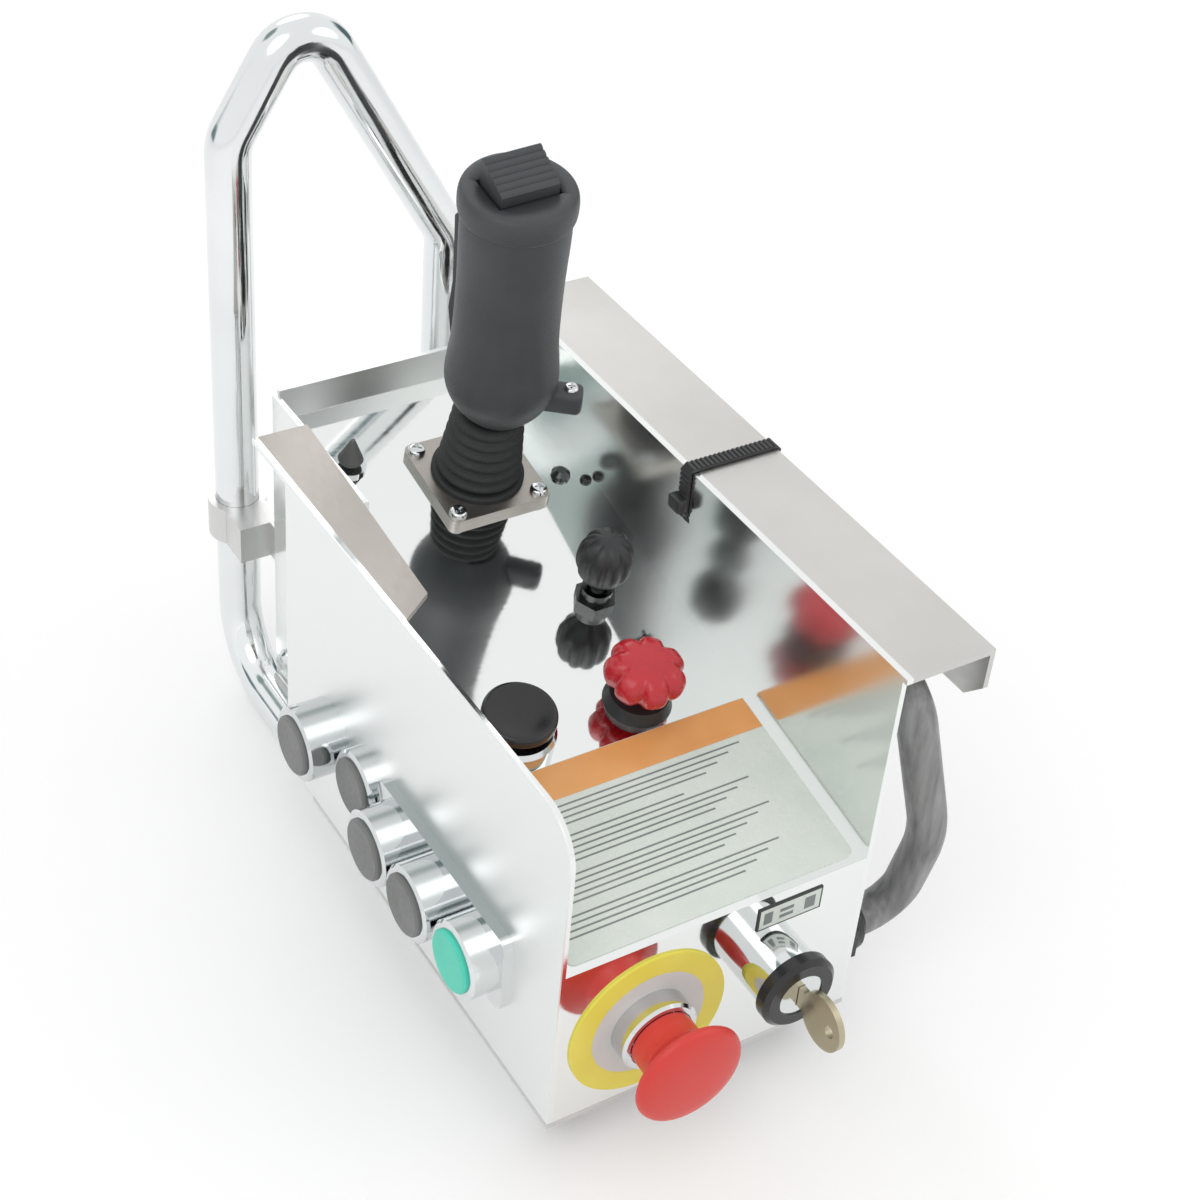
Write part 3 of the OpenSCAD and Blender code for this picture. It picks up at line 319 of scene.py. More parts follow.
class Recipe:
    """A node material on Object coordinates, built link by link."""

    def __init__(self, name, metallic=0.0, roughness=0.5, colour=(0.8, 0.8, 0.8), coat=0.0):
        self.mat = bpy.data.materials.new(name)
        self.mat.use_nodes = True
        self.tree = self.mat.node_tree
        self.shader = self.tree.nodes["Principled BSDF"]
        self.shader.inputs["Metallic"].default_value = metallic
        self.shader.inputs["Roughness"].default_value = roughness
        self.shader.inputs["Base Color"].default_value = (*colour, 1.0)
        self.shader.inputs["Coat Weight"].default_value = coat
        self.coords = self.tree.nodes.new("ShaderNodeTexCoord").outputs["Object"]

    def link(self, a, b):
        self.tree.links.new(a, b)

    def noise(self, scale, detail=4.0, stretch=(1, 1, 1), roughness=0.55):
        """Noise of a scale, drawn out along the axes whose stretch is small."""
        place = self.tree.nodes.new("ShaderNodeMapping")
        place.inputs["Scale"].default_value = stretch
        self.link(self.coords, place.inputs["Vector"])
        node = self.tree.nodes.new("ShaderNodeTexNoise")
        node.inputs["Scale"].default_value = scale
        node.inputs["Detail"].default_value = detail
        node.inputs["Roughness"].default_value = roughness
        self.link(place.outputs["Vector"], node.inputs["Vector"])
        return node.outputs["Fac"]

    def spread(self, value, low, high, start=0.3, stop=0.7):
        """A value of noise moved to a range."""
        node = self.tree.nodes.new("ShaderNodeMapRange")
        node.inputs["From Min"].default_value = start
        node.inputs["From Max"].default_value = stop
        node.inputs["To Min"].default_value = low
        node.inputs["To Max"].default_value = high
        self.link(value, node.inputs["Value"])
        return node.outputs["Result"]

    def tint(self, value, low, high, start=0.3, stop=0.7):
        """Sets the colour, between two colours."""
        ramp = self.tree.nodes.new("ShaderNodeValToRGB")
        ramp.color_ramp.elements[0].position = start
        ramp.color_ramp.elements[0].color = (*low, 1.0)
        ramp.color_ramp.elements[1].position = stop
        ramp.color_ramp.elements[1].color = (*high, 1.0)
        self.link(value, ramp.inputs["Fac"])
        self.link(ramp.outputs["Color"], self.shader.inputs["Base Color"])

    def rough(self, value, low, high):
        """Sets the roughness, between two values."""
        self.link(self.spread(value, low, high), self.shader.inputs["Roughness"])

    def past(self, axis, limit, test="GREATER_THAN"):
        """One where the place along an axis is past the limit, and otherwise zero."""
        split = self.tree.nodes.new("ShaderNodeSeparateXYZ")
        self.link(self.coords, split.inputs["Vector"])
        node = self.tree.nodes.new("ShaderNodeMath")
        node.operation = test
        node.inputs[1].default_value = limit
        self.link(split.outputs[axis], node.inputs[0])
        return node.outputs[0]

    def blend(self, factor, first, second, kind="FLOAT"):
        """A mix of two sockets or values."""
        node = self.tree.nodes.new("ShaderNodeMix")
        node.data_type = kind
        self.link(factor, live(node.inputs, "Factor"))
        for name, value in (("A", first), ("B", second)):
            if isinstance(value, bpy.types.NodeSocket):
                self.link(value, live(node.inputs, name))
            else:
                live(node.inputs, name).default_value = value
        return live(node.outputs, "Result")

    def bump(self, value, strength, distance):
        """Sets the fine relief."""
        node = self.tree.nodes.new("ShaderNodeBump")
        node.inputs["Strength"].default_value = strength
        node.inputs["Distance"].default_value = distance
        self.link(value, node.inputs["Height"])
        self.link(node.outputs["Normal"], self.shader.inputs["Normal"])


METAL_RELIEF, PLASTIC_RELIEF = 0.0002, 0.0001
SATIN_ROUGH = 0.36
FLANGE_ROUGH = (0.30, 0.46)
EVEN = (1, 1, 1)


def metal(name, low, high, rough, grain=EVEN, scale=60.0, bump=0.04):
    """Polished or brushed metal with faint handling marks."""
    made = Recipe(name, metallic=1.0, roughness=rough[0], colour=high)
    broad = made.noise(9.0, 3.0)
    fine = made.noise(scale, 5.0, grain)
    made.tint(broad, low, high)
    made.rough(fine, rough[0], rough[1])
    made.bump(fine, bump, METAL_RELIEF)
    return made.mat


def shell_metal(name, low, high, rear):
    """Polished sheet whose rear wall, from a place along the box, is satin."""
    made = Recipe(name, metallic=1.0, roughness=0.06, colour=high)
    made.tint(made.noise(9.0, 3.0), low, high)
    fine = made.noise(90.0, 5.0, (1, 8, 1))
    rough = made.blend(made.past("Y", rear), made.spread(fine, 0.04, 0.08), SATIN_ROUGH)
    made.link(rough, made.shader.inputs["Roughness"])
    made.bump(fine, 0.02, METAL_RELIEF)
    return made.mat


def plate_metal(name, sheet, flange, edge, rough, outer=None):
    """Bright sheet whose folded flange, beyond an edge across the box, is brushed.
    Its outer face, short of another place across the box, is satin where that is given."""
    made = Recipe(name, metallic=1.0, roughness=rough[0], colour=sheet)
    grain = made.noise(150.0, 5.0, (26, 1, 1))
    cloud = made.noise(16.0, 3.0)
    beyond = made.past("X", edge)
    worn = 0.9 * Vector(flange)
    folded = made.blend(made.spread(cloud, 0.0, 1.0), (*flange, 1.0), (*worn, 1.0), "RGBA")
    colour = made.blend(beyond, (*sheet, 1.0), folded, "RGBA")
    made.link(colour, made.shader.inputs["Base Color"])
    finish = made.blend(beyond, made.spread(cloud, *rough), made.spread(grain, *FLANGE_ROUGH))
    if outer is not None:
        finish = made.blend(made.past("X", outer, "LESS_THAN"), finish, SATIN_ROUGH)
    made.link(finish, made.shader.inputs["Roughness"])
    made.bump(grain, 0.04, METAL_RELIEF)
    return made.mat


def plastic(name, low, high, rough, grain=900.0, bump=0.15, coat=0.0, sheen_stretch=None):
    """Moulded plastic with a fine grain and slightly uneven colour; given a stretch, its colour is instead
    drawn out along an axis into long pale bands of painted sheen.
    """
    made = Recipe(name, roughness=rough[0], colour=high, coat=coat)
    broad = made.noise(35.0, 3.0) if sheen_stretch is None else made.noise(260.0, 3.0, sheen_stretch)
    fine = made.noise(grain, 2.0)
    made.tint(broad, low, high)
    made.rough(fine, rough[0], rough[1])
    made.bump(fine, bump, PLASTIC_RELIEF)
    return made.mat


# Each metal: name, darkest and lightest colour, roughness, then the grain's stretch, scale and depth
METALS = {
    "satin": ("satin_steel", (0.60, 0.60, 0.59), (0.70, 0.70, 0.69), (0.3, 0.42), (12, 1, 1), 120.0, 0.1),
    "tube": ("tube_chrome", (0.72, 0.74, 0.75), (0.86, 0.88, 0.88), (0.05, 0.16), EVEN, 140.0, 0.12),
    "chrome": ("control_chrome", (0.62, 0.64, 0.65), (0.78, 0.80, 0.80), (0.06, 0.14), EVEN, 200.0, 0.04),
    "dark_metal": ("dark_metal", (0.06, 0.065, 0.065), (0.12, 0.125, 0.12), (0.2, 0.32), EVEN, 200.0, 0.05),
    "seat": ("stick_seat", (0.42, 0.39, 0.36), (0.52, 0.49, 0.46), (0.3, 0.42), (1, 9, 1), 160.0, 0.1),
    "brass": ("key_brass", (0.42, 0.38, 0.26), (0.55, 0.50, 0.36), (0.28, 0.42), EVEN, 300.0, 0.15),
}

# Each plastic: name, darkest and lightest colour, roughness, then the grain's scale and depth, and coat
PLASTICS = {
    "ring_face": ("ring_face", (0.60, 0.60, 0.58), (0.70, 0.70, 0.68), (0.3, 0.4), 600.0, 0.05),
    "black": ("black_plastic", (0.018, 0.019, 0.020), (0.032, 0.033, 0.035), (0.34, 0.48)),
    "gloss_black": ("gloss_black", (0.012, 0.012, 0.013), (0.022, 0.022, 0.024), (0.16, 0.26), 900.0, 0.05),
    "boot_grey": ("boot_grey", (0.085, 0.09, 0.088), (0.13, 0.135, 0.13), (0.5, 0.65)),
    "grip": ("grip_plastic", (0.040, 0.045, 0.048), (0.055, 0.060, 0.064), (0.42, 0.55), 1400.0, 0.25),
    "rubber": ("boot_rubber", (0.016, 0.017, 0.018), (0.030, 0.031, 0.032), (0.55, 0.7), 1200.0, 0.3),
    "knob_red": ("knob_red", (0.48, 0.012, 0.022), (0.58, 0.018, 0.030), (0.2, 0.3), 900.0, 0.05, 0.2),
    "yellow": ("ring_yellow", (0.80, 0.70, 0.07), (0.88, 0.78, 0.11), (0.35, 0.5)),
    "green": ("button_green", (0.06, 0.60, 0.44), (0.09, 0.72, 0.54), (0.35, 0.45), 900.0, 0.1),
    "grey": ("button_grey", (0.15, 0.155, 0.15), (0.20, 0.205, 0.20), (0.4, 0.55), 700.0, 0.2),
    "orange": ("card_orange", (0.78, 0.34, 0.10), (0.86, 0.42, 0.15), (0.3, 0.4), 300.0, 0.02),
    "card": ("card_field", (0.66, 0.72, 0.66), (0.74, 0.79, 0.73), (0.22, 0.3), 300.0, 0.02),
    "rule": ("card_rule", (0.16, 0.18, 0.18), (0.24, 0.26, 0.25), (0.3, 0.4)),
    "board": ("board_green", (0.02, 0.10, 0.05), (0.03, 0.14, 0.07), (0.35, 0.45)),
    "led": ("led_lens", (0.02, 0.03, 0.03), (0.04, 0.05, 0.05), (0.1, 0.15), 900.0, 0.0, 0.5),
}

MATERIALS = {}


def make_materials(look):
    """All finishes, by name."""
    steel, red = Vector(look.steel), Vector(look.red)
    right_flange, left_flange = (0.66, 0.65, 0.63), (0.46, 0.43, 0.40)
    # The lead's own dark grey, and the paler colour of painted sheen drawn out along its length
    dark_sheath, sheath_sheen_colour = (0.13, 0.13, 0.13), (0.30, 0.305, 0.30)
    MATERIALS.update(
        mirror=shell_metal("mirror_steel", steel * 0.95, steel, REAR_WALL_Y),
        plate=metal("plate_steel", steel * 0.93, steel, (0.14, 0.24), (1, 1, 14), 120.0, 0.05),
        right=plate_metal("right_plate", tuple(steel), right_flange, RIGHT_FLANGE_X, (0.15, 0.21)),
        left=plate_metal("left_plate", tuple(0.99 * steel), left_flange, LEFT_FLANGE_X, (0.03, 0.08),
                         LEFT_FACE_X),
        red=plastic("red_plastic", red * 0.92, red, (0.32, 0.42), 1000.0, 0.1),
        # Lead: painted sheen, pale streaks along its length over its dark grey
        sheath=plastic("lead_sheath", dark_sheath, sheath_sheen_colour, (0.3, 0.42), 500.0, 0.2,
                       sheen_stretch=(1, 1, 0.09)),
    )
    for finish, recipe in METALS.items():
        MATERIALS[finish] = metal(*recipe)
    for finish, recipe in PLASTICS.items():
        MATERIALS[finish] = plastic(*recipe)


CAD_FINISH = {
    "mirror": ["panel_shell"],
    "right": ["side_plate_right"],
    "left": ["side_plate_left"],
    "plate": ["pocket_wall"],
    "satin": ["bottom_cover", "hoop_clamps"],
    "chrome": ["cover_screws", "clamp_screws", "skid_bolts", "estop_body", "key_barrel", "key_rotor",
               "horn_bezel", "small_toggle_base", "lock_nuts", "stick_screws", "stick_pin",
               "stick_shaft", "button_frame"] + ["side_collar_%d" % i for i in range(1, 6)],
    "black": ["tube_plugs", "key_legend", "estop_stem", "estop_contacts", "key_contacts", "panel_contacts",
              "side_contacts", "lead_ends", "knob_base", "stick_body", "flange_tie"],
    "boot_grey": ["small_toggle_lever"],
    "dark_metal": ["toggle_base"],
    "gloss_black": ["key_bezel"],
    "grey": ["side_cap_2", "side_cap_3", "side_cap_4", "side_cap_5"],
    "green": ["side_cap_1"],
    "grip": ["thumb_rocker", "enable_trigger"],
    "yellow": ["estop_ring"],
    "brass": ["key"],
    "board": ["control_board"],
    "led": ["status_led"],
    "seat": ["stick_plate"],
    "card": ["placard"],
}


# Settings
class ControlBoxLook(bpy.types.PropertyGroup):
    """Colours of the main finishes."""
    steel: FloatVectorProperty(name="Steel", description="Colour of the polished sheet", subtype="COLOR",
                               default=(0.86, 0.88, 0.87), min=0.0, max=1.0)
    red: FloatVectorProperty(name="Stop red", description="Colour of the emergency stop", subtype="COLOR",
                             default=(0.72, 0.045, 0.035), min=0.0, max=1.0)


class ControlBoxSizes(bpy.types.PropertyGroup):
    """Sizes of the pieces that are made here."""
    tube_r: FloatProperty(name="Tube radius", description="Outside radius of the bent tube, mm", default=8.5)
    lead_r: FloatProperty(name="Lead radius", description="Outside radius of the lead, mm", default=7.0)
    grip_r: FloatProperty(name="Grip radius", description="Radius of the joystick's grip, mm", default=19.4)
    folds: IntProperty(name="Boot folds", description="Folds of the joystick's rubber boot", default=6, min=3)
    lobes: IntProperty(name="Knob lobes", description="Lobes of the lift knob", default=7, min=3)


class ControlBoxStudio(bpy.types.PropertyGroup):
    """Camera and light."""
    lens: FloatProperty(name="Lens", description="Focal length on a 36 mm sensor", default=68.73)
    key_light: FloatProperty(name="Key light", description="Power of the large soft lamp", default=5.0,
                             unit="POWER")
    room: FloatProperty(name="Room light", description="Strength of the white room", default=0.85)


# Pieces
class CONTROLBOX_OT_finishes(bpy.types.Operator):
    """Give every solid of the frame its finish"""
    bl_idname = "controlbox.finishes"
    bl_label = "Frame finishes"

    def execute(self, context):
        make_materials(context.scene.control_box_look)
        for finish, names in CAD_FINISH.items():
            for name in names:
                obj = NODES[name]
                obj.data.materials.clear()
                obj.data.materials.append(MATERIALS[finish])
        return {"FINISHED"}


TUBE_LINE = [(-45, 16, -11), (-45, 280, -11), (-45, 280, 224), (-15.3, 280, 272), (45, 280, 168),
             (45, 280, -11), (45, 16, -11)]
TUBE_BENDS = [0, 30, 20, 14, 20, 30, 0]
LEAD_LINE = [(59, 14, 22), (89.5, 14, 22), (89.5, 4, 66), (70.8, 8, 138.2), (70.8, 215, 138.2)]
LEAD_BENDS = [0, 15, 60, 22, 0]


class CONTROLBOX_OT_tubes(bpy.types.Operator):
    """Make the bent tube and the harness lead"""
    bl_idname = "controlbox.tubes"
    bl_label = "Tube and lead"

    def execute(self, context):
        sizes = context.scene.control_box_sizes
        line = arc_line(TUBE_LINE, TUBE_BENDS)
        hoop = tube_piece("hoop_tube", line, sizes.tube_r, MATERIALS["tube"], "housing")
        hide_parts("hoop_frame")
        line = arc_line(LEAD_LINE, LEAD_BENDS)
        lead = tube_piece("lead_sheath", line, sizes.lead_r, MATERIALS["sheath"], "housing")
        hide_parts("harness_lead")
        return {"FINISHED"}


# Radius and height of the boot's valley and ridge, as shares of its radius and of a fold
FOLD_SHARES = ((0.84, 0), (1, 0.35), (1, 0.65))
# Radius and height of the grip's swell and waist, as shares of its radius and its height
GRIP_SHARES = ((0.9, 0.08), (1.04, 0.15), (1.07, 0.21), (1.04, 0.28), (0.97, 0.4), (0.96, 0.7), (1, 0.93))
HEAD_OUTLINE = [(19.4, HEAD_FOOT), (20.2, 127.4), (20.6, 129.4), (20.6, 134.2), (19.6, 136.6),
                (17.6, HEAD_TOP)]


class CONTROLBOX_OT_joystick(bpy.types.Operator):
    """Make the joystick's boot, grip and head"""
    bl_idname = "controlbox.joystick"
    bl_label = "Joystick"

    def execute(self, context):
        sizes = context.scene.control_box_sizes
        self.boot(on_panel(STICK_X, STICK_U), sizes.folds)
        self.plate_screws(on_panel(STICK_X, STICK_U))
        self.grip(on_grip(), sizes.grip_r)
        self.lug(on_grip() @ Matrix.Rotation(LUG_TURN, 4, "Z"))
        self.head(on_grip())
        return {"FINISHED"}

    def boot(self, place, folds):
        """The rubber boot between the housing and the stick."""
        fold = (BOOT_TOP - BOOT_FOOT) / folds
        bore, seat_r, mouth_r = 9, 17.5, 11.2
        outline = [(seat_r, PLATE_T), (seat_r, BOOT_FOOT)]
        for i in range(folds):
            r = BOOT_R + (BOOT_NECK_R - BOOT_R) * i / folds
            outline += [(share * r, BOOT_FOOT + (i + rise) * fold) for share, rise in FOLD_SHARES]
        outline += [(mouth_r, BOOT_TOP), (bore, BOOT_TOP)]
        skin = turned_bmesh([(bore, PLATE_T)] + rounded(outline, 2) + [(bore, PLATE_T)])
        boot = finish_mesh(skin, "boot", place, MATERIALS["rubber"], None)
        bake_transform(boot)
        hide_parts("stick_bellows")

    def plate_screws(self, place):
        """Four recessed screws in the plate, each turned differently."""
        far = PLATE_SCREW_AT
        for i, (x, y) in enumerate(((-far, -far), (far, -far), (far, far), (-far, far))):
            spot = place @ Matrix.Translation((x, y, PLATE_T)) @ Matrix.Rotation(0.5 + 0.7 * i, 4, "Z")
            made = screw("plate_screw_%d" % i, spot, *PLATE_SCREW, MATERIALS["chrome"])
            if i == 0:
                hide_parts("stick_screws")

    def grip(self, place, r):
        """The waisted grip, with the trigger's slot and a groove under the head."""
        tall = HEAD_FOOT - GRIP_FOOT
        form = [(11.05, GRIP_FOOT), (13, GRIP_FOOT + 0.02 * tall)]
        form += [(share * r, GRIP_FOOT + rise * tall) for share, rise in GRIP_SHARES]
        form += [(0.97 * r, GRIP_TOP)]
        skin = turned_bmesh([(0, GRIP_FOOT)] + rounded(form, 3) + [(0, GRIP_TOP)], 128)
        grip = finish_mesh(skin, "grip_handle", place, MATERIALS["grip"], "stick")
        slot = box_bmesh(SLOT_SIZE, (0, -r, SLOT_Z))
        slot.transform(Matrix.Rotation(TRIGGER_TURN, 4, "Z"))
        cut(grip, slot, place)
        cut(grip, turned_bmesh(ring_outline(0.93 * r, 1.2 * r, GROOVE_LOW, GROOVE_HIGH)), place)
        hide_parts("stick_grip")

    def lug(self, place):
        """The clamp lug at the grip's foot, and its screw."""
        lug = box_bmesh(LUG_SIZE, LUG_CENTRE, LUG_BEVEL, 4)
        lug = finish_mesh(lug, "clamp_lug", place, MATERIALS["grip"], "stick")
        spot = place @ Matrix.Translation(LUG_SCREW_AT)
        made = screw("lug_screw", spot, *LUG_SCREW, MATERIALS["chrome"], "stick")

    def head(self, place):
        """The head, with a well for the thumb rocker and a bore for its pin."""
        form = [(0, HEAD_FOOT)] + rounded(HEAD_OUTLINE, 2) + [(0, HEAD_TOP)]
        head = finish_mesh(turned_bmesh(form, 128), "grip_head", place, MATERIALS["grip"], "stick")
        cut(head, box_bmesh(WELL_SIZE, (0, 0, WELL_Z)), place)
        pin = rod_bmesh(PIN_BORE_R, -PIN_BORE_HALF, PIN_BORE_HALF, 32)
        pin.transform(Matrix.Translation((0, 0, PIN_BORE_Z)) @ Matrix.Rotation(math.radians(90), 4, "X"))
        cut(head, pin, place)
        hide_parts("grip_cap")


KNOB_OUTLINE = [(0, 9.5), (12.2, 9.5), (14.6, 13.2), (14.6, 17), (12.6, 20.2), (8.8, 22), (0, 22)]
HORN_FACE = [(13.2, 12.2), (13.2, 15.2), (12.2, 16), (10.6, 15.8), (6, 15.0), (0, 14.9)]
# Radius and height of the toggle's grip, as shares of its radius and its height
EGG_SHARES = ((0.4, 0), (0.5, 0.08), (0.92, 0.3), (1, 0.5), (0.94, 0.78), (0.6, 0.96))


class CONTROLBOX_OT_panel_controls(bpy.types.Operator):
    """Make the moulded heads of the panel's controls"""
    bl_idname = "controlbox.panel_controls"
    bl_label = "Panel controls"

    def execute(self, context):
        self.knob(on_panel(*KNOB_AT), context.scene.control_box_sizes.lobes)
        self.horn(on_panel(*HORN_AT))
        # small dark screw beside the status lamp
        made = screw("panel_screw", on_panel(*PANEL_SCREW_AT), *PANEL_SCREW, MATERIALS["gloss_black"])
        self.toggle(on_panel(*TOGGLE_AT))
        return {"FINISHED"}

    def knob(self, place, lobes):
        """The lobed lift knob on its stem."""
        bm = turned_bmesh(rounded(KNOB_OUTLINE, 2), 168)
        core, ramp, depth = 4, 6, 0.16
        stem_r, stem_low, stem_top = 6, -13.7, 9.6
        for v in bm.verts:
            r = math.hypot(v.co.x, v.co.y)
            if r > core:
                a = math.atan2(v.co.y, v.co.x) * lobes
                dent = (0.5 - 0.5 * math.cos(a)) ** 3 * depth * min(1.0, (r - core) / ramp)
                v.co.x *= 1 - dent
                v.co.y *= 1 - dent
        join_bmesh(bm, rod_bmesh(stem_r, stem_low, stem_top, 48))
        knob = finish_mesh(bm, "lift_knob_head", place, MATERIALS["knob_red"], "lift_knob")
        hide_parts("lift_knob")

    def horn(self, place):
        """The horn button, with a dished face."""
        stem_r, stem_low, foot_r, foot = 8.3, -14.7, 12.8, 11.6
        cap = [(0, stem_low), (stem_r, stem_low), (stem_r, foot), (foot_r, foot)] + rounded(HORN_FACE, 2)
        horn = finish_mesh(turned_bmesh(cap, 96), "horn_button", place, MATERIALS["gloss_black"], "horn")
        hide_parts("horn_cap")

    def toggle(self, place):
        """The drive toggle: a fluted egg on a stem, with its ball and cross pin."""
        low, tall, r, top = 9.6, 23.4, 10.5, 33
        flutes, plain_share, depth = 9, 0.18, 0.12
        ball_r, ball_z, stem_r, into_grip, pin_r, pin_half = 3.5, 4, 1.8, 0.5, 1.2, 4.9
        egg = [(share * r, low + rise * tall) for share, rise in EGG_SHARES] + [(0, top)]
        bm = turned_bmesh([(0, low)] + rounded(egg, 3), 180)
        for v in bm.verts:
            share = (v.co.z - low) / tall
            if share > plain_share:
                a = math.atan2(v.co.y, v.co.x) * flutes
                dent = (0.5 + 0.5 * math.cos(a)) ** 2 * depth * min(1.0, (share - plain_share) * 5)
                v.co.x *= 1 - dent
                v.co.y *= 1 - dent
        ball = bmesh.new()
        bmesh.ops.create_uvsphere(ball, u_segments=32, v_segments=16, radius=ball_r)
        join_bmesh(bm, ball, Matrix.Translation((0, 0, ball_z)))
        join_bmesh(bm, rod_bmesh(stem_r, ball_z, low + into_grip, 32))
        across = Matrix.Translation((0, 0, ball_z)) @ Matrix.Rotation(math.radians(90), 4, "Y")
        join_bmesh(bm, rod_bmesh(pin_r, -pin_half, pin_half, 24), across)
        egg = finish_mesh(bm, "toggle_grip", place, MATERIALS["black"], "toggle")
        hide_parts("toggle_lever")


# Inner and outer radius of the yellow ring's pale middle, and its heights
RING_FACE = (14.53, 21.8, 1.02, 1.1)


class CONTROLBOX_OT_front_controls(bpy.types.Operator):
    """Make the emergency stop's head"""
    bl_idname = "controlbox.front_controls"
    bl_label = "Front controls"

    def execute(self, context):
        place = on_front(*STOP_AT)
        low, rim, top, r, neck = 9.2, 24.5, 30.0, 20.0, 11.6
        socket_r, socket_top = 8.35, 16.3
        form = [(neck, low), (neck, low + 0.55 * (rim - low)), (0.68 * r, low + 0.72 * (rim - low)),
                (0.86 * r, low + 0.9 * (rim - low)), (r, rim), (r, rim + 0.3 * (top - rim)),
                (0.93 * r, rim + 0.62 * (top - rim)), (0.7 * r, rim + 0.86 * (top - rim)),
                (0.35 * r, top), (0, top)]
        socket = [(0, socket_top), (socket_r, socket_top), (socket_r, low), (neck, low)]
        head = turned_bmesh(socket + rounded(form, 3), 128)
        head = finish_mesh(head, "stop_head", place, MATERIALS["red"], "estop_head")
        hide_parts("estop_head")
        # pale middle of the yellow ring
        face = turned_bmesh(ring_outline(*RING_FACE), 96)
        face = finish_mesh(face, "ring_face", place, MATERIALS["ring_face"], "housing")
        return {"FINISHED"}


BAND_SIZE, BAND_AT = (111.6, 13.4, 0.16), (0, 68.5, 0.58)
LEGEND_SIZE = (24.6, 8.6, 0.1)
# How thick the print is, and how high it stands over the panel and on the legend
INK, PRINT_Z, BAR_Z = 0.1, 0.55, 0.64
# Place, width and height of each bar on the legend
LEGEND_BARS = ((-9, 0, 3.4, 5.2), (-1.5, 1.3, 5.5, 1.4), (-1.5, -1.5, 5.5, 1.4), (8, 0, 4.2, 5.2))


class CONTROLBOX_OT_card(bpy.types.Operator):
    """Make the bare card's band, field and rules"""
    bl_idname = "controlbox.card"
    bl_label = "Card"

    def execute(self, context):
        self.card(on_panel(0, 0))
        self.legend(on_front(*LEGEND_AT))
        return {"FINISHED"}

    def card(self, place):
        """An orange band, and rules of uneven length in blocks."""
        band = box_bmesh(BAND_SIZE, BAND_AT, 0.05, 1)
        band = finish_mesh(band, "card_band", place, MATERIALS["orange"], "housing")
        rules = bmesh.new()
        rows, pitch, thick = 21, 2.35, 0.6
        left, first, longest = -52, 59, 96
        for row in range(rows):
            if row % 6 != 4:
                length = longest - (row * 37) % 31
                spot = (length / 2 + left, first - row * pitch, PRINT_Z)
                join_bmesh(rules, box_bmesh((length, thick, INK), spot))
        rules = finish_mesh(rules, "card_rules", place, MATERIALS["rule"], "housing")

    def legend(self, place):
        """The small legend over the key: a pale plate with plain bars."""
        plate = box_bmesh(LEGEND_SIZE, (0, 0, PRINT_Z))
        plate = finish_mesh(plate, "legend_face", place, MATERIALS["card"], "housing")
        bars = bmesh.new()
        for x, y, w, h in LEGEND_BARS:
            join_bmesh(bars, box_bmesh((w, h, INK), (x, y, BAR_Z)))
        bars = finish_mesh(bars, "legend_bars", place, MATERIALS["rule"], "housing")


# The tie's inner loop round the flange, across and up
TIE_LOOP = [(58.7, 132.5), (95.3, 125.0), (95.3, 150.3), (58.7, 150.3)]
TIE_HALF_W, TIE_CUT_HALF_W, TIE_RIB_PITCH = 2.6, 4, 1.9
TIE_HEAD_SIZE, TIE_HEAD_AT, TIE_HEAD_BEVEL = (4.2, 7.0, 5.6), (55.6, 0, 137), 0.8
# Where a rib starts and ends along its pitch, and how high the strap stands there
RIB_FORM = ((0.05, 1.05), (0.25, 1.5), (0.7, 1.5), (0.9, 1.05))


class CONTROLBOX_OT_tie(bpy.types.Operator):
    """Make the ribbed tie round the flange, with its head"""
    bl_idname = "controlbox.tie"
    bl_label = "Tie"

    def execute(self, context):
        place = shift() @ Matrix.Translation((0, TIE_Y, 0))
        strap = extruded_bmesh(self.ribbed_outline(), TIE_HALF_W)
        tie = finish_mesh(strap, "ribbed_tie", place, MATERIALS["black"], "housing", 30.0)
        cut(tie, extruded_bmesh(TIE_LOOP, TIE_CUT_HALF_W), place)
        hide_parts("flange_tie")
        head = box_bmesh(TIE_HEAD_SIZE, TIE_HEAD_AT, TIE_HEAD_BEVEL, 2)
        head = finish_mesh(head, "tie_head", place, MATERIALS["black"], "housing")
        return {"FINISHED"}

    def ribbed_outline(self):
        """The strap's outer outline, with ribs across it."""
        edge = []
        for (ax, az), (bx, bz) in zip(TIE_LOOP, TIE_LOOP[1:] + TIE_LOOP[:1]):
            run = Vector((bx - ax, bz - az))
            out = Vector((run.y, -run.x)).normalized()
            count = max(2, round(run.length / TIE_RIB_PITCH))
            for i in range(count):
                for share, rise in RIB_FORM:
                    at = Vector((ax, az)) + run * (i + share) / count + out * rise
                    edge.append((at.x, at.y))
        return edge


# Azimuth, elevation and roll of the photograph's camera, and its place in housing millimetres
CAMERA_TURN = tuple(math.radians(a) for a in (-34.59, 38.13, 5.44))
CAMERA_AT = Vector((-277.7 - HALF_W, -404.6, 608.0))
FLOOR_SIZE = 6.0
# Dark patches of the room that polished metal picks up: direction, start, full strength and colour
DARK_PATCHES = (
    ((-0.43, 0.55, 0.71), 0.986, 1.008, (0.26, 0.34, 0.32)),
    ((0.93, 0.33, 0.12), 0.955, 0.985, (0.10, 0.16, 0.17)),
    ((-0.85, 0.50, -0.02), 0.965, 0.99, (0.16, 0.23, 0.24)),
)


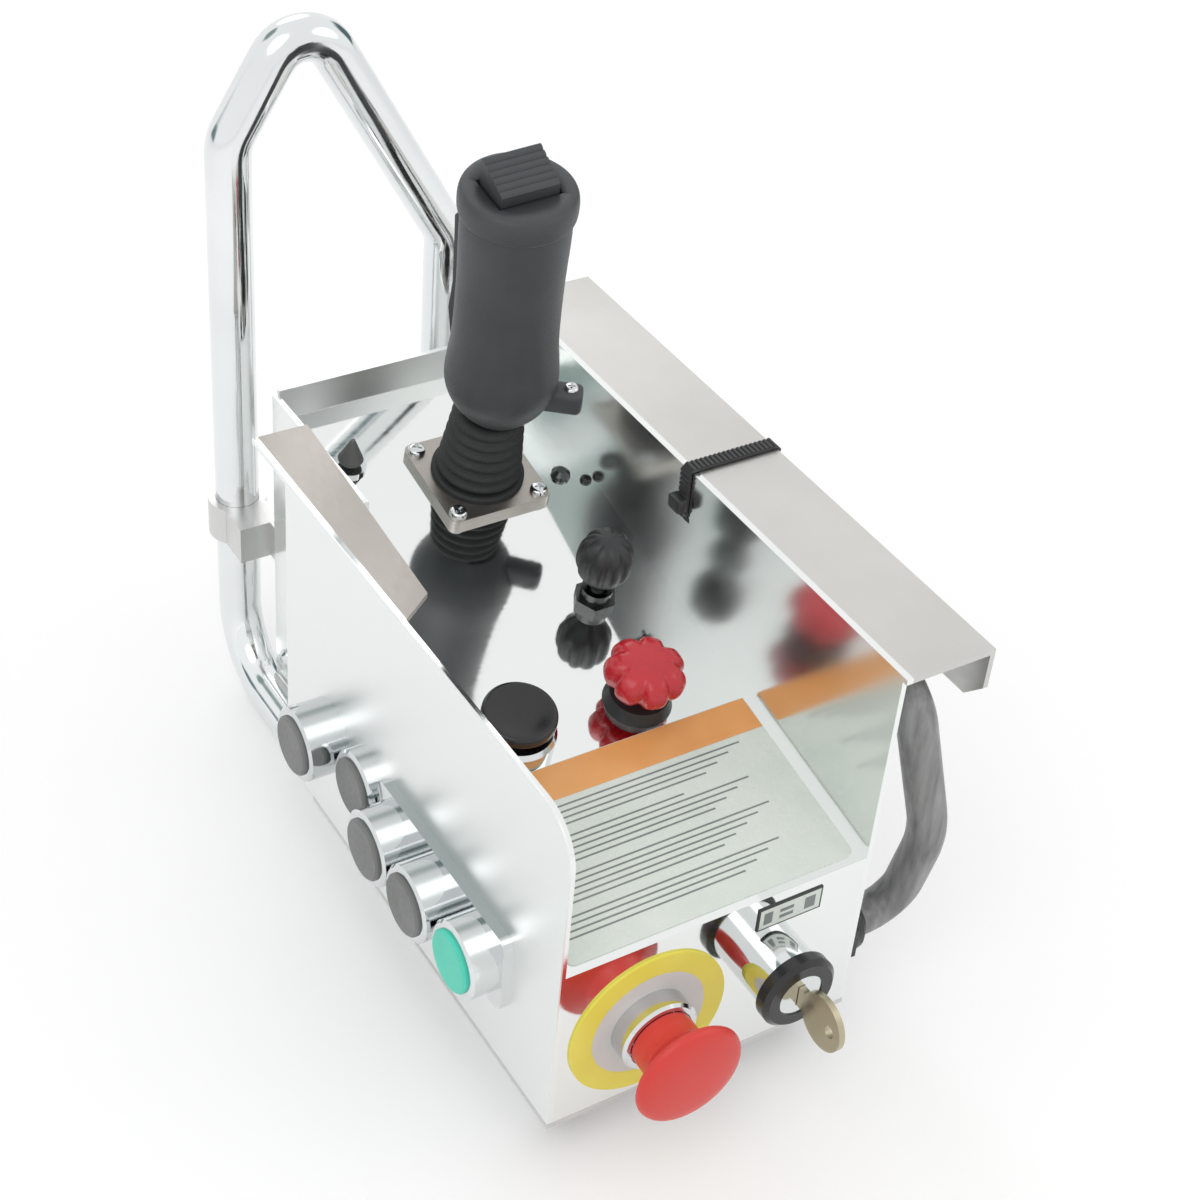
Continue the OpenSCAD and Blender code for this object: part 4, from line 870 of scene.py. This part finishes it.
class CONTROLBOX_OT_studio(bpy.types.Operator):
    """Set up the floor, the white room, the lamps and the camera"""
    bl_idname = "controlbox.studio"
    bl_label = "Studio"

    def execute(self, context):
        studio = context.scene.control_box_studio
        scene = context.scene
        scene.view_settings.view_transform = "Standard"
        self.camera(scene, studio.lens)
        self.floor(scene)
        self.room(scene, studio.room)
        self.lamps(scene, studio.key_light)
        return {"FINISHED"}

    def camera(self, scene, lens):
        """The camera, at the photograph's angle."""
        az, el, roll = CAMERA_TURN
        back = Vector((math.sin(az) * math.cos(el), -math.cos(az) * math.cos(el), math.sin(el)))
        forward = -back
        right = forward.cross(Vector((0, 0, 1))).normalized()
        down = forward.cross(right)
        c, s = math.cos(roll), math.sin(roll)
        axes = (c * right - s * down, -(s * right + c * down), back)
        cam = bpy.data.objects.new("camera", bpy.data.cameras.new("camera"))
        turn = Matrix((axes[0], axes[1], axes[2])).transposed().to_4x4()
        cam.matrix_world = Matrix.Translation((CAMERA_AT + HOUSING_SHIFT) * MM) @ turn
        cam.data.lens = lens
        cam.data.sensor_width = 36.0
        cam.data.clip_start, cam.data.clip_end = 0.02, 30.0
        scene.collection.objects.link(cam)
        scene.camera = cam

    def floor(self, scene):
        """A wide floor under the box."""
        bm = bmesh.new()
        bmesh.ops.create_grid(bm, x_segments=2, y_segments=2, size=FLOOR_SIZE)
        mesh = bpy.data.meshes.new("floor")
        bm.to_mesh(mesh)
        bm.free()
        floor = bpy.data.objects.new("floor", mesh)
        scene.collection.objects.link(floor)
        floor.data.materials.append(self.floor_material())

    def floor_material(self):
        """A pale floor, a little brighter to the camera and in polished metal."""
        made = Recipe("pale_floor", roughness=0.6, colour=(0.86, 0.86, 0.86))
        made.tint(made.noise(3.0, 2.0), (0.855, 0.855, 0.855), (0.865, 0.865, 0.865))
        tree = made.tree
        path = tree.nodes.new("ShaderNodeLightPath")
        either = maximum(tree, path.outputs["Is Camera Ray"], path.outputs["Is Glossy Ray"])
        white = tree.nodes.new("ShaderNodeEmission")
        white.inputs["Strength"].default_value = 0.16
        add = tree.nodes.new("ShaderNodeAddShader")
        tree.links.new(made.shader.outputs[0], add.inputs[0])
        tree.links.new(white.outputs[0], add.inputs[1])
        floor = mix_shaders(tree, either, made.shader.outputs[0], add.outputs[0])
        tree.links.new(floor, tree.nodes["Material Output"].inputs["Surface"])
        return made.mat

    def lamps(self, scene, power):
        """A large key lamp, and a fill and a rear lamp of half its power."""
        for name, at, size, share, aim in (
            ("key", (-0.9, -0.7, 1.6), 1.3, 1.0, (0, 0, 0.1)),
            ("fill", (1.3, -0.9, 1.2), 1.2, 0.5, (0, 0, 0.1)),
            ("rear", (0.3, 1.4, 1.3), 1.0, 0.5, (0, 0, 0.15)),
        ):
            lamp = bpy.data.lights.new(name, "AREA")
            lamp.shape = "DISK"
            lamp.size = size
            lamp.energy = power * share
            obj = bpy.data.objects.new(name, lamp)
            obj.location = at
            obj.rotation_mode = "QUATERNION"
            obj.rotation_quaternion = (Vector(aim) - Vector(at)).to_track_quat("-Z", "Y")
            scene.collection.objects.link(obj)

    def room(self, scene, strength):
        """A white room, with a few darker patches that polished metal picks up."""
        world = bpy.data.worlds.new("room")
        world.use_nodes = True
        tree = world.node_tree
        light = tree.nodes["Background"]
        light.inputs["Color"].default_value = (1.0, 1.0, 1.0, 1.0)
        light.inputs["Strength"].default_value = strength
        seen = tree.nodes.new("ShaderNodeBackground")
        seen.inputs["Strength"].default_value = 1.0
        white = tree.nodes.new("ShaderNodeBackground")
        white.inputs["Strength"].default_value = 1.0
        tree.links.new(self.patches(tree), seen.inputs["Color"])
        path = tree.nodes.new("ShaderNodeLightPath")
        glossy = maximum(tree, path.outputs["Is Glossy Ray"], path.outputs["Is Transmission Ray"])
        lit = mix_shaders(tree, glossy, light.outputs[0], seen.outputs[0])
        shown = mix_shaders(tree, path.outputs["Is Camera Ray"], lit, white.outputs[0])
        tree.links.new(shown, tree.nodes["World Output"].inputs["Surface"])
        scene.world = world

    def patches(self, tree):
        """The room's colour, white but for its dark patches with ragged edges."""
        ragged_edge = 0.03
        coords = tree.nodes.new("ShaderNodeTexCoord")
        cloud = tree.nodes.new("ShaderNodeTexNoise")
        cloud.inputs["Scale"].default_value = 5.0
        tree.links.new(coords.outputs["Generated"], cloud.inputs["Vector"])
        shade = None
        for place, start, stop, colour in DARK_PATCHES:
            dot = tree.nodes.new("ShaderNodeVectorMath")
            dot.operation = "DOT_PRODUCT"
            dot.inputs[1].default_value = Vector(place).normalized()
            tree.links.new(coords.outputs["Generated"], dot.inputs[0])
            ragged = tree.nodes.new("ShaderNodeMath")
            ragged.operation = "MULTIPLY_ADD"
            ragged.inputs[1].default_value = ragged_edge
            tree.links.new(cloud.outputs["Fac"], ragged.inputs[0])
            tree.links.new(dot.outputs["Value"], ragged.inputs[2])
            part = tree.nodes.new("ShaderNodeValToRGB")
            part.color_ramp.elements[0].position = start
            part.color_ramp.elements[0].color = (1.0, 1.0, 1.0, 1.0)
            part.color_ramp.elements[1].position = stop
            part.color_ramp.elements[1].color = (*colour, 1.0)
            tree.links.new(ragged.outputs[0], part.inputs["Fac"])
            if shade is None:
                shade = part.outputs["Color"]
                continue
            both = tree.nodes.new("ShaderNodeMix")
            both.data_type = "RGBA"
            both.blend_type = "MULTIPLY"
            live(both.inputs, "Factor").default_value = 1.0
            tree.links.new(shade, live(both.inputs, "A"))
            tree.links.new(part.outputs["Color"], live(both.inputs, "B"))
            shade = live(both.outputs, "Result")
        return shade


class CONTROLBOX_PT_panel(bpy.types.Panel):
    """Sizes, colours and pieces of the control box"""
    bl_idname = "CONTROLBOX_PT_panel"
    bl_label = "Control Box"
    bl_space_type = "VIEW_3D"
    bl_region_type = "UI"
    bl_category = "Control Box"

    def draw(self, context):
        column = self.layout.column()
        for group in (context.scene.control_box_look, context.scene.control_box_sizes,
                      context.scene.control_box_studio):
            for name in group.__annotations__:
                column.prop(group, name)
        for operator in OPERATORS:
            column.operator(operator.bl_idname)


OPERATORS = (
    CONTROLBOX_OT_finishes,
    CONTROLBOX_OT_tubes,
    CONTROLBOX_OT_joystick,
    CONTROLBOX_OT_panel_controls,
    CONTROLBOX_OT_front_controls,
    CONTROLBOX_OT_card,
    CONTROLBOX_OT_tie,
    CONTROLBOX_OT_studio,
)
CLASSES = (ControlBoxLook, ControlBoxSizes, ControlBoxStudio) + OPERATORS + (CONTROLBOX_PT_panel,)


def register():
    for cls in CLASSES:
        bpy.utils.register_class(cls)
    bpy.types.Scene.control_box_look = PointerProperty(type=ControlBoxLook)
    bpy.types.Scene.control_box_sizes = PointerProperty(type=ControlBoxSizes)
    bpy.types.Scene.control_box_studio = PointerProperty(type=ControlBoxStudio)


def unregister():
    del bpy.types.Scene.control_box_look
    del bpy.types.Scene.control_box_sizes
    del bpy.types.Scene.control_box_studio
    for cls in reversed(CLASSES):
        bpy.utils.unregister_class(cls)


def main():
    register()
    for operator in OPERATORS:
        group, name = operator.bl_idname.split(".")
        getattr(getattr(bpy.ops, group), name)()


if __name__ == "__main__":
    main()
